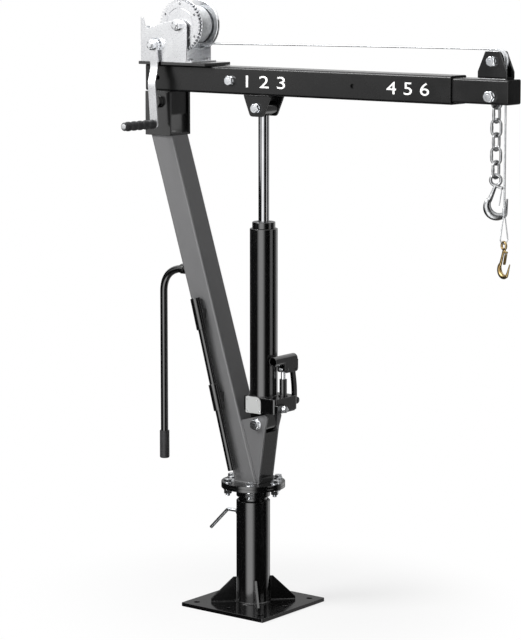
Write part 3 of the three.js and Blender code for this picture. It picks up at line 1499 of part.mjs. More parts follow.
put(winch, 'winch_plate', box(winchPlateBack, winchPlateFront, winchPlateNear, winchPlateFar,
  boomOver, winchPlateTop), blackPaint());
put(winch, 'winch_frame', winchFrame(), zinc());
put(winch, 'winch_drum', winchDrum(), zinc(), [winchX, drumCentreY, winchHeight]);
put(winch, 'winch_gear', winchGear(), zinc(), [winchX, 0, winchHeight]);
put(winch, 'pinion_shaft', pinion(), zinc(), [pinionX, 0, pinionZ]);
const crank = new THREE.Group();
crank.position.set(pinionX, 0, pinionZ);
crank.rotation.y = -THREE.MathUtils.degToRad(crankSwing);
winch.add(crank);
const crankPivot = [pinionX, 0, pinionZ];
put(crank, 'crank_arm', crankArm(), zinc(), crankPivot).position.set(0, 0, 0);
const gripMesh = put(crank, 'crank_grip', crankGrip(), rubber(), [pinionX, 0, pinionZ - crankLength]);
gripMesh.position.set(0, 0, -crankLength);
const pawl = winchPawl();
put(winch, 'winch_pawl', pawl.solid, zinc(), pawl.at);

// Rope winding: the outer layer on the drum, one unbroken tube that leaves at the drum's underside
function windingPoints() {
  const turnSteps = 24;
  const total = ropeTurns * turnSteps - turnSteps / 2;
  const width = ropeTurnPitch * total / turnSteps;
  const points = [];
  for (let k = 0; k <= total; k += 1) {
    const angle = Math.PI / 2 + 2 * Math.PI * k / turnSteps;
    const y = ropeTurnPitch * k / turnSteps - width / 2;
    points.push(new THREE.Vector3(
      winchX + ropeCentreRadius * Math.cos(angle), y, winchHeight + ropeCentreRadius * Math.sin(angle)));
  }
  const first = points[0].clone();
  const last = points[total].clone();
  first.x += rope;
  last.x += rope;
  return [first, ...points, last];
}

function windingGap(points) {
  let least = Infinity;
  for (let i = 0; i < points.length; i += 1) {
    for (let k = i + 12; k < points.length; k += 1) {
      least = Math.min(least, points[i].distanceTo(points[k]) - rope);
    }
  }
  return least;
}

const winding = windingPoints();
console.log(`rope winding: least gap to itself ${windingGap(winding).toFixed(2)} mm`);
put(winch, 'rope_winding', ringTube(winding, winding.map(() => ropeRadius), 6), zinc(),
  [winchX, 0, winchHeight]);

export default crane;
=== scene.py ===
# Pickup truck crane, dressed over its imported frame: black powder-coated steel, bright zinc fasteners and
# winch, a chrome ram, a wire rope and a gold passivated hook. Shells are laid out in millimetres in the
# frame's own axes, and become metres where a piece is built.
import math
import random

import bmesh
import bpy
from mathutils import Matrix, Vector
from mathutils.geometry import tessellate_polygon


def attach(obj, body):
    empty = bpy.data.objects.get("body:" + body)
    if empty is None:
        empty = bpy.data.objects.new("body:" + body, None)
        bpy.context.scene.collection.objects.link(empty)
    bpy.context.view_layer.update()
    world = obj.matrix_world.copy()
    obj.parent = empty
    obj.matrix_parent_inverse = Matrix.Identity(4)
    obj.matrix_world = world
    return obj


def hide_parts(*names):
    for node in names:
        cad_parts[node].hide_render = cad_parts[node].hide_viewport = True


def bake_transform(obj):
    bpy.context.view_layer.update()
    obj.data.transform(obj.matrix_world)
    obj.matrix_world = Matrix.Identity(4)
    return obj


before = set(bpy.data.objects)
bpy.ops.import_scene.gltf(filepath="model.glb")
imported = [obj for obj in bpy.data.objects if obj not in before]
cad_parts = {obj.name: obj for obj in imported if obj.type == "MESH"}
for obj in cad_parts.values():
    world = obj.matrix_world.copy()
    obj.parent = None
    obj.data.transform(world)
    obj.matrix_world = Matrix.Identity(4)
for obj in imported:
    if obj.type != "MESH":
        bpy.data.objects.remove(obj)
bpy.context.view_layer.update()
mm = 0.001

# Camera: at eye height in front of the crane's right side, with a long lens
# It looks a little down, and a small shift keeps the post and the boom in the frame.
camera_place = (3.9513, -5.0646, 1.7525)
camera_yaw = 37.79
camera_pitch = 7.317
camera_sensor = 36
camera_lens = 140.14
camera_shift = -0.1
camera_data = bpy.data.cameras.new("camera")
camera = bpy.data.objects.new("camera", camera_data)
bpy.context.scene.collection.objects.link(camera)
camera.location = camera_place
camera.rotation_euler = (math.radians(90 - camera_pitch), 0, math.radians(camera_yaw))
camera_data.sensor_fit = "VERTICAL"
camera_data.sensor_height = camera_sensor
camera_data.lens = camera_lens
camera_data.shift_y = camera_shift
camera_data.clip_start = 0.1
camera_data.clip_end = 60
bpy.context.scene.camera = camera

# Rope: 5 mm galvanised wire rope, six strands laid round a core
# It leaves the drum's underside, passes over the sheave and hangs straight down to its ferrule.


def lofted(rings, closed=False):
    """A skin through rings of points, with flat ends, or joined end to start."""
    sides = len(rings[0])
    points = [Vector(point) for ring in rings for point in ring]
    faces = []
    for i in range(len(rings) if closed else len(rings) - 1):
        here = i * sides
        there = (i + 1) % len(rings) * sides
        for k in range(sides):
            turn = (k + 1) % sides
            faces.append((here + k, here + turn, there + turn, there + k))
    if not closed:
        faces.append(tuple(range(sides)))
        faces.append(tuple(len(points) - sides + k for k in range(sides)))
    return points, faces


def swept(path, sections, closed=False, across=(0, 1, 0)):
    """A bar along a path, with a section of (across, up) points at each step."""
    count = len(path)
    side = Vector(across)
    rings = []
    for i, point in enumerate(path):
        before = path[(i - 1) % count if closed else max(i - 1, 0)]
        after = path[(i + 1) % count if closed else min(i + 1, count - 1)]
        along = (after - before).normalized()
        side = (side - along * side.dot(along)).normalized()
        up = along.cross(side)
        rings.append([point + side * a + up * b for a, b in sections[i]])
    return lofted(rings, closed)


def circle(radius, sides=16, turn=0.0):
    angles = [turn + 2 * math.pi * k / sides for k in range(sides)]
    return [(radius * math.cos(angle), radius * math.sin(angle)) for angle in angles]


def round_bar(path, radii, sides=16, closed=False, across=(0, 1, 0)):
    return swept(path, [circle(radius, sides) for radius in radii], closed, across)


def even_steps(path, step):
    """The same path with its points a step apart."""
    spaced = [path[0].copy()]
    left = step
    for start, end in zip(path, path[1:]):
        length = (end - start).length
        while left < length:
            spaced.append(start.lerp(end, left / length))
            left += step
        left -= length
    if (spaced[-1] - path[-1]).length > step / 3:
        spaced.append(path[-1].copy())
    return spaced


def curve_through(points, steps):
    """A smooth curve through points, as many steps between each two."""
    ends = [2 * points[0] - points[1], *points, 2 * points[-1] - points[-2]]
    path = []
    for a, b, c, d in zip(ends, ends[1:], ends[2:], ends[3:]):
        for k in range(steps):
            t = k / steps
            path.append(0.5 * (2 * b + (c - a) * t + (2 * a - 5 * b + 4 * c - d) * t ** 2
                               + (3 * b - a - 3 * c + d) * t ** 3))
    return [*path, points[-1].copy()]


rope_radius = 2.5
rope_strands = 6
rope_hollow = 0.16
rope_lay = 34
rope_step = 1.7


def laid_rope(path):
    """A rope of twisted strands along an evenly stepped path."""
    sections = []
    for i in range(len(path)):
        turn = 2 * math.pi * i * rope_step / rope_lay
        ring = []
        for k in range(4 * rope_strands):
            angle = 2 * math.pi * k / (4 * rope_strands)
            bulge = abs(math.cos(rope_strands * angle / 2))
            radius = rope_radius * (1 - rope_hollow + rope_hollow * bulge ** 0.6)
            ring.append((radius * math.cos(angle + turn), radius * math.sin(angle + turn)))
        sections.append(ring)
    return swept(path, sections)


def evaluated_mesh(made):
    """A new mesh of the object with its modifiers applied."""
    return bpy.data.meshes.new_from_object(made.evaluated_get(bpy.context.evaluated_depsgraph_get()))


def piece(name, shells, material, body, finish, *nodes, crease=34, soft_flats=False):
    """One object from shells in millimetres, riding on a body in place of its nodes."""
    points, faces = [], []
    for shell_points, shell_faces in shells:
        first = len(points)
        points += [point * mm for point in shell_points]
        faces += [tuple(first + k for k in face) for face in shell_faces]
    mesh = bpy.data.meshes.new(name)
    mesh.from_pydata(points, [], faces)
    shaped = bmesh.new()
    shaped.from_mesh(mesh)
    bmesh.ops.remove_doubles(shaped, verts=shaped.verts, dist=1e-7)
    bmesh.ops.recalc_face_normals(shaped, faces=shaped.faces)
    shaped.to_mesh(mesh)
    shaped.free()
    mesh.shade_smooth()
    mesh.set_sharp_from_angle(angle=math.radians(crease))
    made = bpy.data.objects.new(name, mesh)
    bpy.context.scene.collection.objects.link(made)
    if not soft_flats:
        even = made.modifiers.new("flats", "WEIGHTED_NORMAL")
        even.keep_sharp = True
        made.data = evaluated_mesh(made)
        made.modifiers.clear()
        bpy.data.meshes.remove(mesh)
    made.data.name = name
    made.data.materials.clear()
    made.data.materials.append(material)
    if body:
        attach(made, body)
    if nodes:
        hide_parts(*nodes)
    return made


def shader_group(name, inputs, outputs):
    """An empty shader node group with its sockets, and its input and output nodes."""
    group = bpy.data.node_groups.new(name, "ShaderNodeTree")
    for label, kind, value in inputs:
        group.interface.new_socket(name=label, in_out="INPUT", socket_type=kind).default_value = value
    for label, kind in outputs:
        group.interface.new_socket(name=label, in_out="OUTPUT", socket_type=kind)
    return group, group.nodes.new("NodeGroupInput"), group.nodes.new("NodeGroupOutput")


def add_node(tree, kind, inputs=(), **settings):
    """A shader node with its settings, its inputs joined to sockets or set to values."""
    node = tree.nodes.new("ShaderNode" + kind)
    for key, value in settings.items():
        setattr(node, key, value)
    for label, value in dict(inputs).items():
        if isinstance(value, bpy.types.NodeSocket):
            tree.links.new(value, node.inputs[label])
        else:
            node.inputs[label].default_value = value
    return node


def remap(tree, value, low, high, to_low, to_high):
    node = add_node(tree, "MapRange", {"Value": value, "From Min": low, "From Max": high,
                                       "To Min": to_low, "To Max": to_high})
    return node.outputs["Result"]


def calculate(tree, operation, first, second=0.0):
    return add_node(tree, "Math", {0: first, 1: second}, operation=operation).outputs[0]


def new_material(name):
    """A material with its node tree and its Principled surface."""
    made = bpy.data.materials.new(name)
    made.use_nodes = True
    return made, made.node_tree, made.node_tree.nodes["Principled BSDF"]


def two_tones(tree, share, first, second):
    """The surface's colour, from a first tone to a second."""
    tone = add_node(tree, "ValToRGB", {"Fac": share})
    tone.color_ramp.elements[0].color = (*first, 1)
    tone.color_ramp.elements[1].color = (*second, 1)
    tree.links.new(tone.outputs["Color"], tree.nodes["Principled BSDF"].inputs["Base Color"])


def emboss(tree, height, strength, depth):
    """A fine relief that tilts the surface's normal."""
    relief = add_node(tree, "Bump", {"Height": height, "Strength": strength, "Distance": depth})
    tree.links.new(relief.outputs["Normal"], tree.nodes["Principled BSDF"].inputs["Normal"])


# Marks of metal: fine drawn or rolled lines, faint clouds of plating and a slight unevenness
marks, marks_in, marks_out = shader_group(
    "metal_marks",
    [("Fineness", "NodeSocketFloat", 400.0), ("Stretch", "NodeSocketVector", (1, 1, 1)),
     ("Clouds", "NodeSocketFloat", 30.0)],
    [("Lines", "NodeSocketFloat"), ("Clouds", "NodeSocketFloat"), ("Height", "NodeSocketFloat")])
place = add_node(marks, "TexCoord").outputs["Object"]
stretched = add_node(marks, "VectorMath", {0: place, 1: marks_in.outputs["Stretch"]}, operation="MULTIPLY")
lines = add_node(marks, "TexNoise", {"Vector": stretched.outputs[0], "Scale": marks_in.outputs["Fineness"],
                                     "Detail": 4.0, "Roughness": 0.65})
clouds = add_node(marks, "TexNoise", {"Vector": place, "Scale": marks_in.outputs["Clouds"],
                                      "Detail": 3.0, "Distortion": 0.6})
marks.links.new(remap(marks, lines.outputs["Fac"], 0.3, 0.7, 0, 1), marks_out.inputs["Lines"])
marks.links.new(remap(marks, clouds.outputs["Fac"], 0.3, 0.7, 0, 1), marks_out.inputs["Clouds"])
marks.links.new(lines.outputs["Fac"], marks_out.inputs["Height"])


def metal(name, dark, light, rough, fineness, cloud_scale, bump, stretch=(1, 1, 1)):
    """A bare or plated metal: its colour clouds between two tones, and its lines roughen the gloss."""
    made, tree, surface = new_material(name)
    marked = add_node(tree, "Group", node_tree=marks)
    marked.inputs["Fineness"].default_value = fineness
    marked.inputs["Stretch"].default_value = stretch
    marked.inputs["Clouds"].default_value = cloud_scale
    two_tones(tree, marked.outputs["Clouds"], dark, light)
    tree.links.new(remap(tree, marked.outputs["Lines"], 0, 1, *rough), surface.inputs["Roughness"])
    emboss(tree, marked.outputs["Height"], bump, 0.0002)
    surface.inputs["Metallic"].default_value = 1.0
    return made


rope_steel = metal("rope_steel", (0.42, 0.43, 0.44), (0.62, 0.63, 0.64), (0.3, 0.5), 900, 120, 0.25)

drum_centre = Vector((-208, 0, 1521.8))
winding_radius = 47.4
sheave_centre = Vector((738, 0, 1456))
sheave_pitch = 28
rope_start = (-182.8, 1474.4)
rope_bottom = 1104
rope_route = [rope_start, (-120, 1475.2), (24, 1477.2), (250, 1480), (462, 1482.2), (640, 1483.6)]
sheave_steps = 24
rope_path = [Vector((x, 0, z)) for x, z in rope_route]
rope_path.append(sheave_centre + Vector((0, 0, sheave_pitch)))
rope_path = curve_through(rope_path, 8)
for k in range(1, sheave_steps + 1):
    angle = math.pi / 2 * (1 - k / sheave_steps)
    spoke = Vector((math.cos(angle), 0, math.sin(angle)))
    rope_path.append(sheave_centre + spoke * sheave_pitch)
rope_path.append(Vector((rope_path[-1].x, 0, rope_bottom)))
rope_line = even_steps(rope_path, rope_step)
free_rope = piece("free_rope", [laid_rope(rope_line)], rope_steel, None, "steel_rope",
                  "rope_run", "rope_drop", crease=60, soft_flats=True)
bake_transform(free_rope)

# Rope's end: a pressed steel ferrule over a thin wire loop that carries the hook
# The loop is one strand bent back on itself, with both legs crimped into the ferrule.
ferrule_length = 20
ferrule_width = 9
ferrule_thick = 8
loop_wire = 1.5
loop_width = 26
loop_bottom = 1017
loop_turn = 80
rope_drop_x = sheave_centre.x + sheave_pitch


def rounded(corners, steps=6):
    """Points through corners whose last number is the radius that rounds them."""
    points = []
    for i, (*corner, radius) in enumerate(corners):
        here = Vector(corner)
        if radius == 0:
            points.append(here)
            continue
        back = (Vector(corners[i - 1][:-1]) - here).normalized()
        ahead = (Vector(corners[(i + 1) % len(corners)][:-1]) - here).normalized()
        half = back.angle(ahead) / 2
        centre = here + (back + ahead).normalized() * (radius / math.sin(half))
        first = here + back * (radius / math.tan(half)) - centre
        last = here + ahead * (radius / math.tan(half)) - centre
        sweep = first.angle(last)
        for k in range(steps + 1):
            share = k / steps
            spoke = (first * math.sin((1 - share) * sweep) + last * math.sin(share * sweep)) / math.sin(sweep)
            points.append(centre + spoke)
    return points


def rectangle(x0, x1, y0, y1, radius=0.0):
    return rounded([(x0, y0, radius), (x1, y0, radius), (x1, y1, radius), (x0, y1, radius)])


def ring_of_holes(radius, count, circle_radius, turn=0.0):
    holes = []
    for x, y in circle(circle_radius, count, turn):
        holes.append([Vector((x + a, y + b)) for a, b in circle(radius, 24)])
    return holes


def area_of(loop):
    return sum(a.x * b.y - b.x * a.y for a, b in zip(loop, [*loop[1:], loop[0]])) / 2


def inset(loop, depth):
    """A loop moved into the material on its left."""
    inner = []
    for i, here in enumerate(loop):
        back = (here - loop[i - 1]).normalized()
        ahead = (loop[(i + 1) % len(loop)] - here).normalized()
        left = Vector((-back.y - ahead.y, back.x + ahead.x)).normalized()
        reach = max(left.dot(Vector((-back.y, back.x))), 0.4)
        inner.append(here + left * (depth / reach))
    return inner


def slab(loops, low, high, edge=0.5, arc=2):
    """A plate cut to its outline and holes, thick from low to high, with rounded edges."""
    loops = [[Vector(point[:2]) for point in loop] for loop in loops]
    turned_loops = []
    for i, loop in enumerate(loops):
        material_left = (area_of(loop) > 0) == (i == 0)
        turned_loops.append(loop if material_left else loop[::-1])
    points, faces, caps = [], [], ([], [])
    for loop in turned_loops:
        rings = []
        for k in range(arc + 1):
            angle = math.pi / 2 * k / arc
            rings.append((edge * (1 - math.sin(angle)), low + edge * (1 - math.cos(angle))))
        rings += [(depth, low + high - z) for depth, z in reversed(rings)]
        first = len(points)
        for depth, z in rings:
            points += [Vector((*point, z)) for point in inset(loop, depth)]
        count = len(loop)
        for r in range(len(rings) - 1):
            for k in range(count):
                here = first + r * count
                turn = (k + 1) % count
                faces.append((here + k, here + turn, here + count + turn, here + count + k))
        caps[0].append(list(range(first, first + count)))
        caps[1].append(list(range(len(points) - count, len(points))))
    for loops_of_cap in caps:
        flat = [[points[k] for k in loop] for loop in loops_of_cap]
        order = [k for loop in loops_of_cap for k in loop]
        faces += [tuple(order[k] for k in triangle) for triangle in tessellate_polygon(flat)]
    return points, faces


def moved(shell, matrix):
    points, faces = shell
    return [matrix @ point for point in points], faces


# Plates stand with their thickness along Y or X, and bolts and wheels turn about the same axes
upright = Matrix(((1, 0, 0, 0), (0, 0, 1, 0), (0, 1, 0, 0), (0, 0, 0, 1)))
sideways = Matrix(((0, 0, 1, 0), (1, 0, 0, 0), (0, 1, 0, 0), (0, 0, 0, 1)))
along_x = Matrix(((0, 0, 1, 0), (0, 1, 0, 0), (1, 0, 0, 0), (0, 0, 0, 1)))


def at(x=0.0, y=0.0, z=0.0, turn=0.0):
    return Matrix.Translation((x, y, z)) @ Matrix.Rotation(math.radians(turn), 4, "Z")


def crosswise(x, z):
    """The place of a bolt or wheel that lies along Y, with its middle at x and z."""
    return Matrix.Translation((x, 0, z)) @ upright


def lengthwise(y, z):
    """The place of a pin that lies along X, at its y and z."""
    return Matrix.Translation((0, y, z)) @ along_x


def all_moved(shells, matrix):
    return [moved(shell, matrix) for shell in shells]


bright_zinc = metal("bright_zinc", (0.66, 0.68, 0.71), (0.83, 0.84, 0.85), (0.16, 0.3), 700, 45, 0.12)
ferrule_loop = rectangle(-ferrule_width / 2, ferrule_width / 2, -ferrule_thick / 2, ferrule_thick / 2, 3)
ferrule_shell = slab([ferrule_loop], -ferrule_length, 0, 1.2, 3)
loop_round = loop_width / 2
loop_line = [Vector((-rope_radius, 0, -ferrule_length + 2))]
for k in range(17):
    angle = math.pi * (1 + k / 16)
    loop_line.append(Vector((loop_round * math.cos(angle), 0,
                             loop_bottom + loop_round - rope_bottom + loop_round * math.sin(angle))))
loop_line.append(Vector((rope_radius, 0, -ferrule_length + 2)))
loop_line = curve_through(loop_line, 4)
loop_shell = round_bar(loop_line, [loop_wire] * len(loop_line), 10)
rope_end = at(rope_drop_x, 0, rope_bottom - 0.3, loop_turn)
piece("rope_end_loop", all_moved([ferrule_shell, loop_shell], rope_end), rope_steel, "inner_boom",
      "steel_rope", "rope_eye")

# Base plate: 10 mm plate cut square, drilled with eight bolt holes and powder coated gloss black
# The corners are eased, and the cut edges rounded.
plate_half = 135
plate_thick = 10
hole_radius = 8
hole_reach = 106

# Paint film: orange peel, a faint change of gloss, and a little dust on what faces up
film, film_in, film_out = shader_group(
    "paint_film",
    [("Colour", "NodeSocketColor", (0.012, 0.012, 0.013, 1)),
     ("Dust Colour", "NodeSocketColor", (0.09, 0.09, 0.09, 1)),
     ("Dust", "NodeSocketFloat", 0.3), ("Gloss", "NodeSocketFloat", 0.14)],
    [("Colour", "NodeSocketColor"), ("Roughness", "NodeSocketFloat"), ("Height", "NodeSocketFloat")])
place = add_node(film, "TexCoord").outputs["Object"]
peel = add_node(film, "TexNoise", {"Vector": place, "Scale": 260.0, "Detail": 1.5})
cloud = add_node(film, "TexNoise", {"Vector": place, "Scale": 14.0, "Detail": 3.0})
speck = add_node(film, "TexNoise", {"Vector": place, "Scale": 900.0, "Detail": 2.0})
facing = add_node(film, "NewGeometry").outputs["Normal"]
up = add_node(film, "SeparateXYZ", {0: facing}).outputs["Z"]
upper = remap(film, up, 0.3, 1, 0, 1)
dusted = calculate(film, "MULTIPLY", calculate(film, "MULTIPLY", upper, film_in.outputs["Dust"]),
                   remap(film, speck.outputs["Fac"], 0.42, 0.7, 0, 1))
tinted = add_node(film, "Mix", data_type="RGBA")
film.links.new(dusted, tinted.inputs[0])
film.links.new(film_in.outputs["Colour"], tinted.inputs[6])
film.links.new(film_in.outputs["Dust Colour"], tinted.inputs[7])
film.links.new(tinted.outputs[2], film_out.inputs["Colour"])
gloss = calculate(film, "ADD", film_in.outputs["Gloss"],
                  remap(film, cloud.outputs["Fac"], 0.3, 0.7, -0.02, 0.05))
film.links.new(calculate(film, "ADD", gloss, calculate(film, "MULTIPLY", dusted, 0.5)),
               film_out.inputs["Roughness"])
film.links.new(peel.outputs["Fac"], film_out.inputs["Height"])


def paint(name, colour, gloss_roughness, dust, specular, coat=0.0, peel_strength=0.1):
    """A powder coating: a coloured film with orange peel, and a clear gloss coat over it as strong as coat.
    """
    made, tree, surface = new_material(name)
    coated = add_node(tree, "Group", node_tree=film)
    coated.inputs["Colour"].default_value = (*colour, 1)
    coated.inputs["Dust"].default_value = dust
    coated.inputs["Gloss"].default_value = gloss_roughness
    tree.links.new(coated.outputs["Colour"], surface.inputs["Base Color"])
    tree.links.new(coated.outputs["Roughness"], surface.inputs["Roughness"])
    emboss(tree, coated.outputs["Height"], peel_strength, 0.0003)
    surface.inputs["Specular IOR Level"].default_value = specular
    surface.inputs["Coat Weight"].default_value = coat
    surface.inputs["Coat Roughness"].default_value = 0.06
    return made


gloss_black = paint("gloss_black", (0.002, 0.002, 0.0021), 0.14, 0.04, 0.8, coat=0.3)

plate_holes = []
for x in (-hole_reach, 0, hole_reach):
    for y in (-hole_reach, 0, hole_reach):
        if x or y:
            plate_holes.append([Vector((x + a, y + b)) for a, b in circle(hole_radius, 32)])
plate_loop = rectangle(-plate_half, plate_half, -plate_half, plate_half, 3)
piece("base_plate_dressed", [slab([plate_loop, *plate_holes], 0, plate_thick, 0.8)], gloss_black, "base",
      "black_paint", "base_plate")

# Post: 88.9 mm steel tube welded upright in the middle of the plate
# Near its chamfered top a nut is welded over a drilled hole, for the lock bolt.
post_radius = 44.45
post_bore = 39.45
post_top = 284
post_chamfer = 3
lock_height = 244
lock_rod = 4.5
nut_flats = 17
nut_depth = 9


def turned(profile, steps=72):
    """A solid turned about Z from points of radius and height."""
    points, faces, rings = [], [], []
    for radius, height in profile:
        if radius < 1e-6:
            rings.append([len(points)])
            points.append(Vector((0, 0, height)))
        else:
            rings.append(list(range(len(points), len(points) + steps)))
            points += [Vector((a, b, height)) for a, b in circle(radius, steps)]
    pairs = list(zip(rings, rings[1:]))
    if len(rings[0]) > 1:
        pairs.append((rings[-1], rings[0]))
    for low, high in pairs:
        for k in range(steps):
            turn = (k + 1) % steps
            corners = [low[k % len(low)], low[turn % len(low)], high[turn % len(high)], high[k % len(high)]]
            faces.append(tuple(dict.fromkeys(corners)))
    return points, [face for face in faces if len(face) > 2]


def sleeve(bore, radius, low, high, edge=0.6):
    """A turned tube with rounded rims."""
    return turned(rectangle(bore, radius, low, high, edge))


def disc(radius, low, high, edge=0.5):
    """A turned disc or rod end with rounded rims."""
    return turned([(0, low), (radius - edge, low), (radius - 0.3 * edge, low + 0.3 * edge),
                   (radius, low + edge), (radius, high - edge), (radius - 0.3 * edge, high - 0.3 * edge),
                   (radius - edge, high), (0, high)])


def hexagon(flats, low, high, bore=0.0):
    """A hexagonal head or nut with its corners turned down at the outer end."""
    steps = 72
    top_radius = flats / 2 * 0.95
    slope = math.sqrt(3)
    bottom, shoulder, top, inner_top, inner_bottom = [], [], [], [], []
    for k in range(steps):
        angle = 2 * math.pi * k / steps
        within = (angle + math.pi / 6) % (math.pi / 3) - math.pi / 6
        radius = flats / 2 / math.cos(within)
        down = (radius - top_radius) / slope
        ray = Vector((math.cos(angle), math.sin(angle), 0))
        bottom.append(ray * radius + Vector((0, 0, low)))
        shoulder.append(ray * radius + Vector((0, 0, high - math.copysign(down, high - low))))
        top.append(ray * top_radius + Vector((0, 0, high)))
        inner_top.append(ray * bore + Vector((0, 0, high)))
        inner_bottom.append(ray * bore + Vector((0, 0, low)))
    if bore:
        return lofted([bottom, shoulder, top, inner_top, inner_bottom], closed=True)
    return lofted([bottom, shoulder, top])


def thread(radius, low, high):
    """A threaded end, turned as close ridges, with a chamfered tip at high."""
    pitch = 1.5
    sign = math.copysign(1, high - low)
    profile = [(0, low), (radius, low)]
    height = low + sign * pitch / 2
    while abs(high - height) > pitch and (high - height) * sign > 0:
        profile += [(radius * 0.9, height), (radius, height + sign * pitch / 2)]
        height += sign * pitch
    profile += [(radius * 0.85, high), (0, high)]
    return turned(profile, 36)


def bead(path, radius, closed=False, seed=1):
    """A weld bead: a half-buried round with the ripples of its pool."""
    draw = random.Random(seed)
    line = even_steps(path, 1.3)
    radii = []
    for i in range(len(line)):
        ripple = 0.08 * math.sin(i * 2 * math.pi / 3)
        radii.append(radius * (1 + ripple + draw.uniform(-0.04, 0.04)))
    return round_bar(line, radii, 10, closed)


def ring_line(radius, z):
    return [Vector((a, b, z)) for a, b in circle(radius, 96)]


post_profile = rounded([
    (post_bore, plate_thick, 0.5), (post_radius, plate_thick, 0.5), (post_radius, post_top - post_chamfer, 1),
    (post_radius - post_chamfer, post_top, 0.8), (post_bore, post_top, 0.8)], 3)
facing_back = Matrix.Rotation(math.radians(-90), 4, "Y")
nut_place = at(1 - post_radius, 0, lock_height) @ facing_back
nut_shell = moved(hexagon(nut_flats, 0, nut_depth + 1, bore=lock_rod + 0.3), nut_place)
nut_seam = [Vector((-post_radius - 0.4, a, lock_height + b)) for a, b in circle(10.5, 40)]
piece("post_tube", [turned(post_profile, 96), nut_shell], gloss_black, "base", "black_paint", "base_post",
      crease=28)
post_foot = ring_line(post_radius + 0.8, plate_thick + 0.8)
piece("post_weld", [bead(post_foot, 2.6, True), bead(nut_seam, 1.6, True)], gloss_black, "base",
      "black_paint", soft_flats=True)

# Gussets: four triangles of 6 mm plate, cut with blunt toes and welded between post and plate
# They stand on the plate's diagonals, with a bead along each side of both joints.
gusset_reach = 112
gusset_height = 65
gusset_thick = 6
gusset_toe = 8
gusset_weld = 1.7
gusset_corner = post_radius + 0.3
gusset_outline = rounded([
    (gusset_corner, plate_thick, 0), (gusset_reach, plate_thick, 0.6),
    (gusset_reach, plate_thick + gusset_toe, 1), (gusset_corner + gusset_toe, plate_thick + gusset_height, 1),
    (gusset_corner, plate_thick + gusset_height, 0.6)], 3)
gusset_plate = moved(slab([gusset_outline], -gusset_thick / 2, gusset_thick / 2, 0.6), upright)
for i, side in enumerate(("right", "back", "left", "front")):
    turn = at(turn=45 + 90 * i)
    shells = [gusset_plate]
    for y in (-gusset_thick / 2, gusset_thick / 2):
        foot = [Vector((x, y, plate_thick + 0.4)) for x in (gusset_corner + 2, gusset_reach - 1)]
        wall = [Vector((gusset_corner - 0.6, y, plate_thick + z)) for z in (2, gusset_height - 1)]
        shells += [bead(foot, gusset_weld, seed=3 * i), bead(wall, gusset_weld, seed=3 * i + 1)]
    piece(f"gusset_{side}_dressed", all_moved(shells, turn), gloss_black, "base", "black_paint",
          f"gusset_{side}")

# Lock bolt: a 9 mm zinc-plated bar, threaded where it passes the nut and bent down as its own handle
# Its tip presses on the swivel tube.
lock_tip = -38.3
lock_straight = 47
lock_drop = 58
lock_corner = Vector((lock_tip - lock_straight, 0, lock_height))
lock_line = rounded([(lock_tip, 0, lock_height, 0), (*lock_corner, 14),
                     (lock_corner.x - lock_drop, 0, lock_height - lock_drop, 0)], 10)
lock_step = 0.8
lock_chamfer = 1.2
thread_depth = 0.35
lock_line = even_steps(lock_line, lock_step)
lock_radii = []
for i, point in enumerate(lock_line):
    threaded = point.x > lock_corner.x + 16
    from_end = min(i, len(lock_line) - 1 - i) * lock_step
    radius = lock_rod - max(0, lock_chamfer - from_end) * 0.7
    lock_radii.append(radius - (thread_depth if threaded and i % 2 else 0))
piece("lock_bolt_dressed", [round_bar(lock_line, lock_radii, 20)], bright_zinc, "lock_screw", "zinc",
      "lock_bolt", crease=50, soft_flats=True)

# Swivel tube: 76 mm tube that turns in the post, with a collar that rests above it and the lower flange
# The flange is 8 mm plate, drilled for six bolts and welded to the collar.
swivel_radius = 38
swivel_bore = 33
collar_bottom = 293
flange_bottom = 317
flange_middle = 325
flange_top = 333
flange_radius = 84
bolt_circle = 71.5
bolt_radius = 6
bolt_count = 6
flange_loop = [Vector(p) for p in circle(flange_radius, 120)]
bolt_holes = ring_of_holes(bolt_radius + 0.3, bolt_count, bolt_circle)
swivel_hole = [Vector(p) for p in circle(swivel_bore, 72)]
piece("swivel_dressed",
      [sleeve(swivel_bore, swivel_radius, plate_thick + 0.5, flange_bottom),
       sleeve(swivel_bore, post_radius, collar_bottom, flange_bottom + 0.5, 1.2),
       slab([flange_loop, swivel_hole, *bolt_holes], flange_bottom, flange_middle - 0.1, 0.8),
       bead(ring_line(post_radius + 0.6, flange_bottom - 0.8), 2.2, True, 5),
       bead(ring_line(swivel_radius + 0.5, collar_bottom - 0.3), 1.8, True, 6)],
      gloss_black, "mast", "black_paint", "swivel_tube")

# Mast: 70 mm square tube that leans back, its ends cut level, welded to the upper flange
# The lean is an even slope from the flange's middle to the head.
mast_half = 35
mast_wall = 4
mast_corner = 7
mast_top = 1230.7
mast_lean = math.radians(17.35)
mast_slope = math.tan(mast_lean)
mast_stretch = 1 / math.cos(mast_lean)


def mast_x(z):
    return -mast_slope * (z - flange_top)


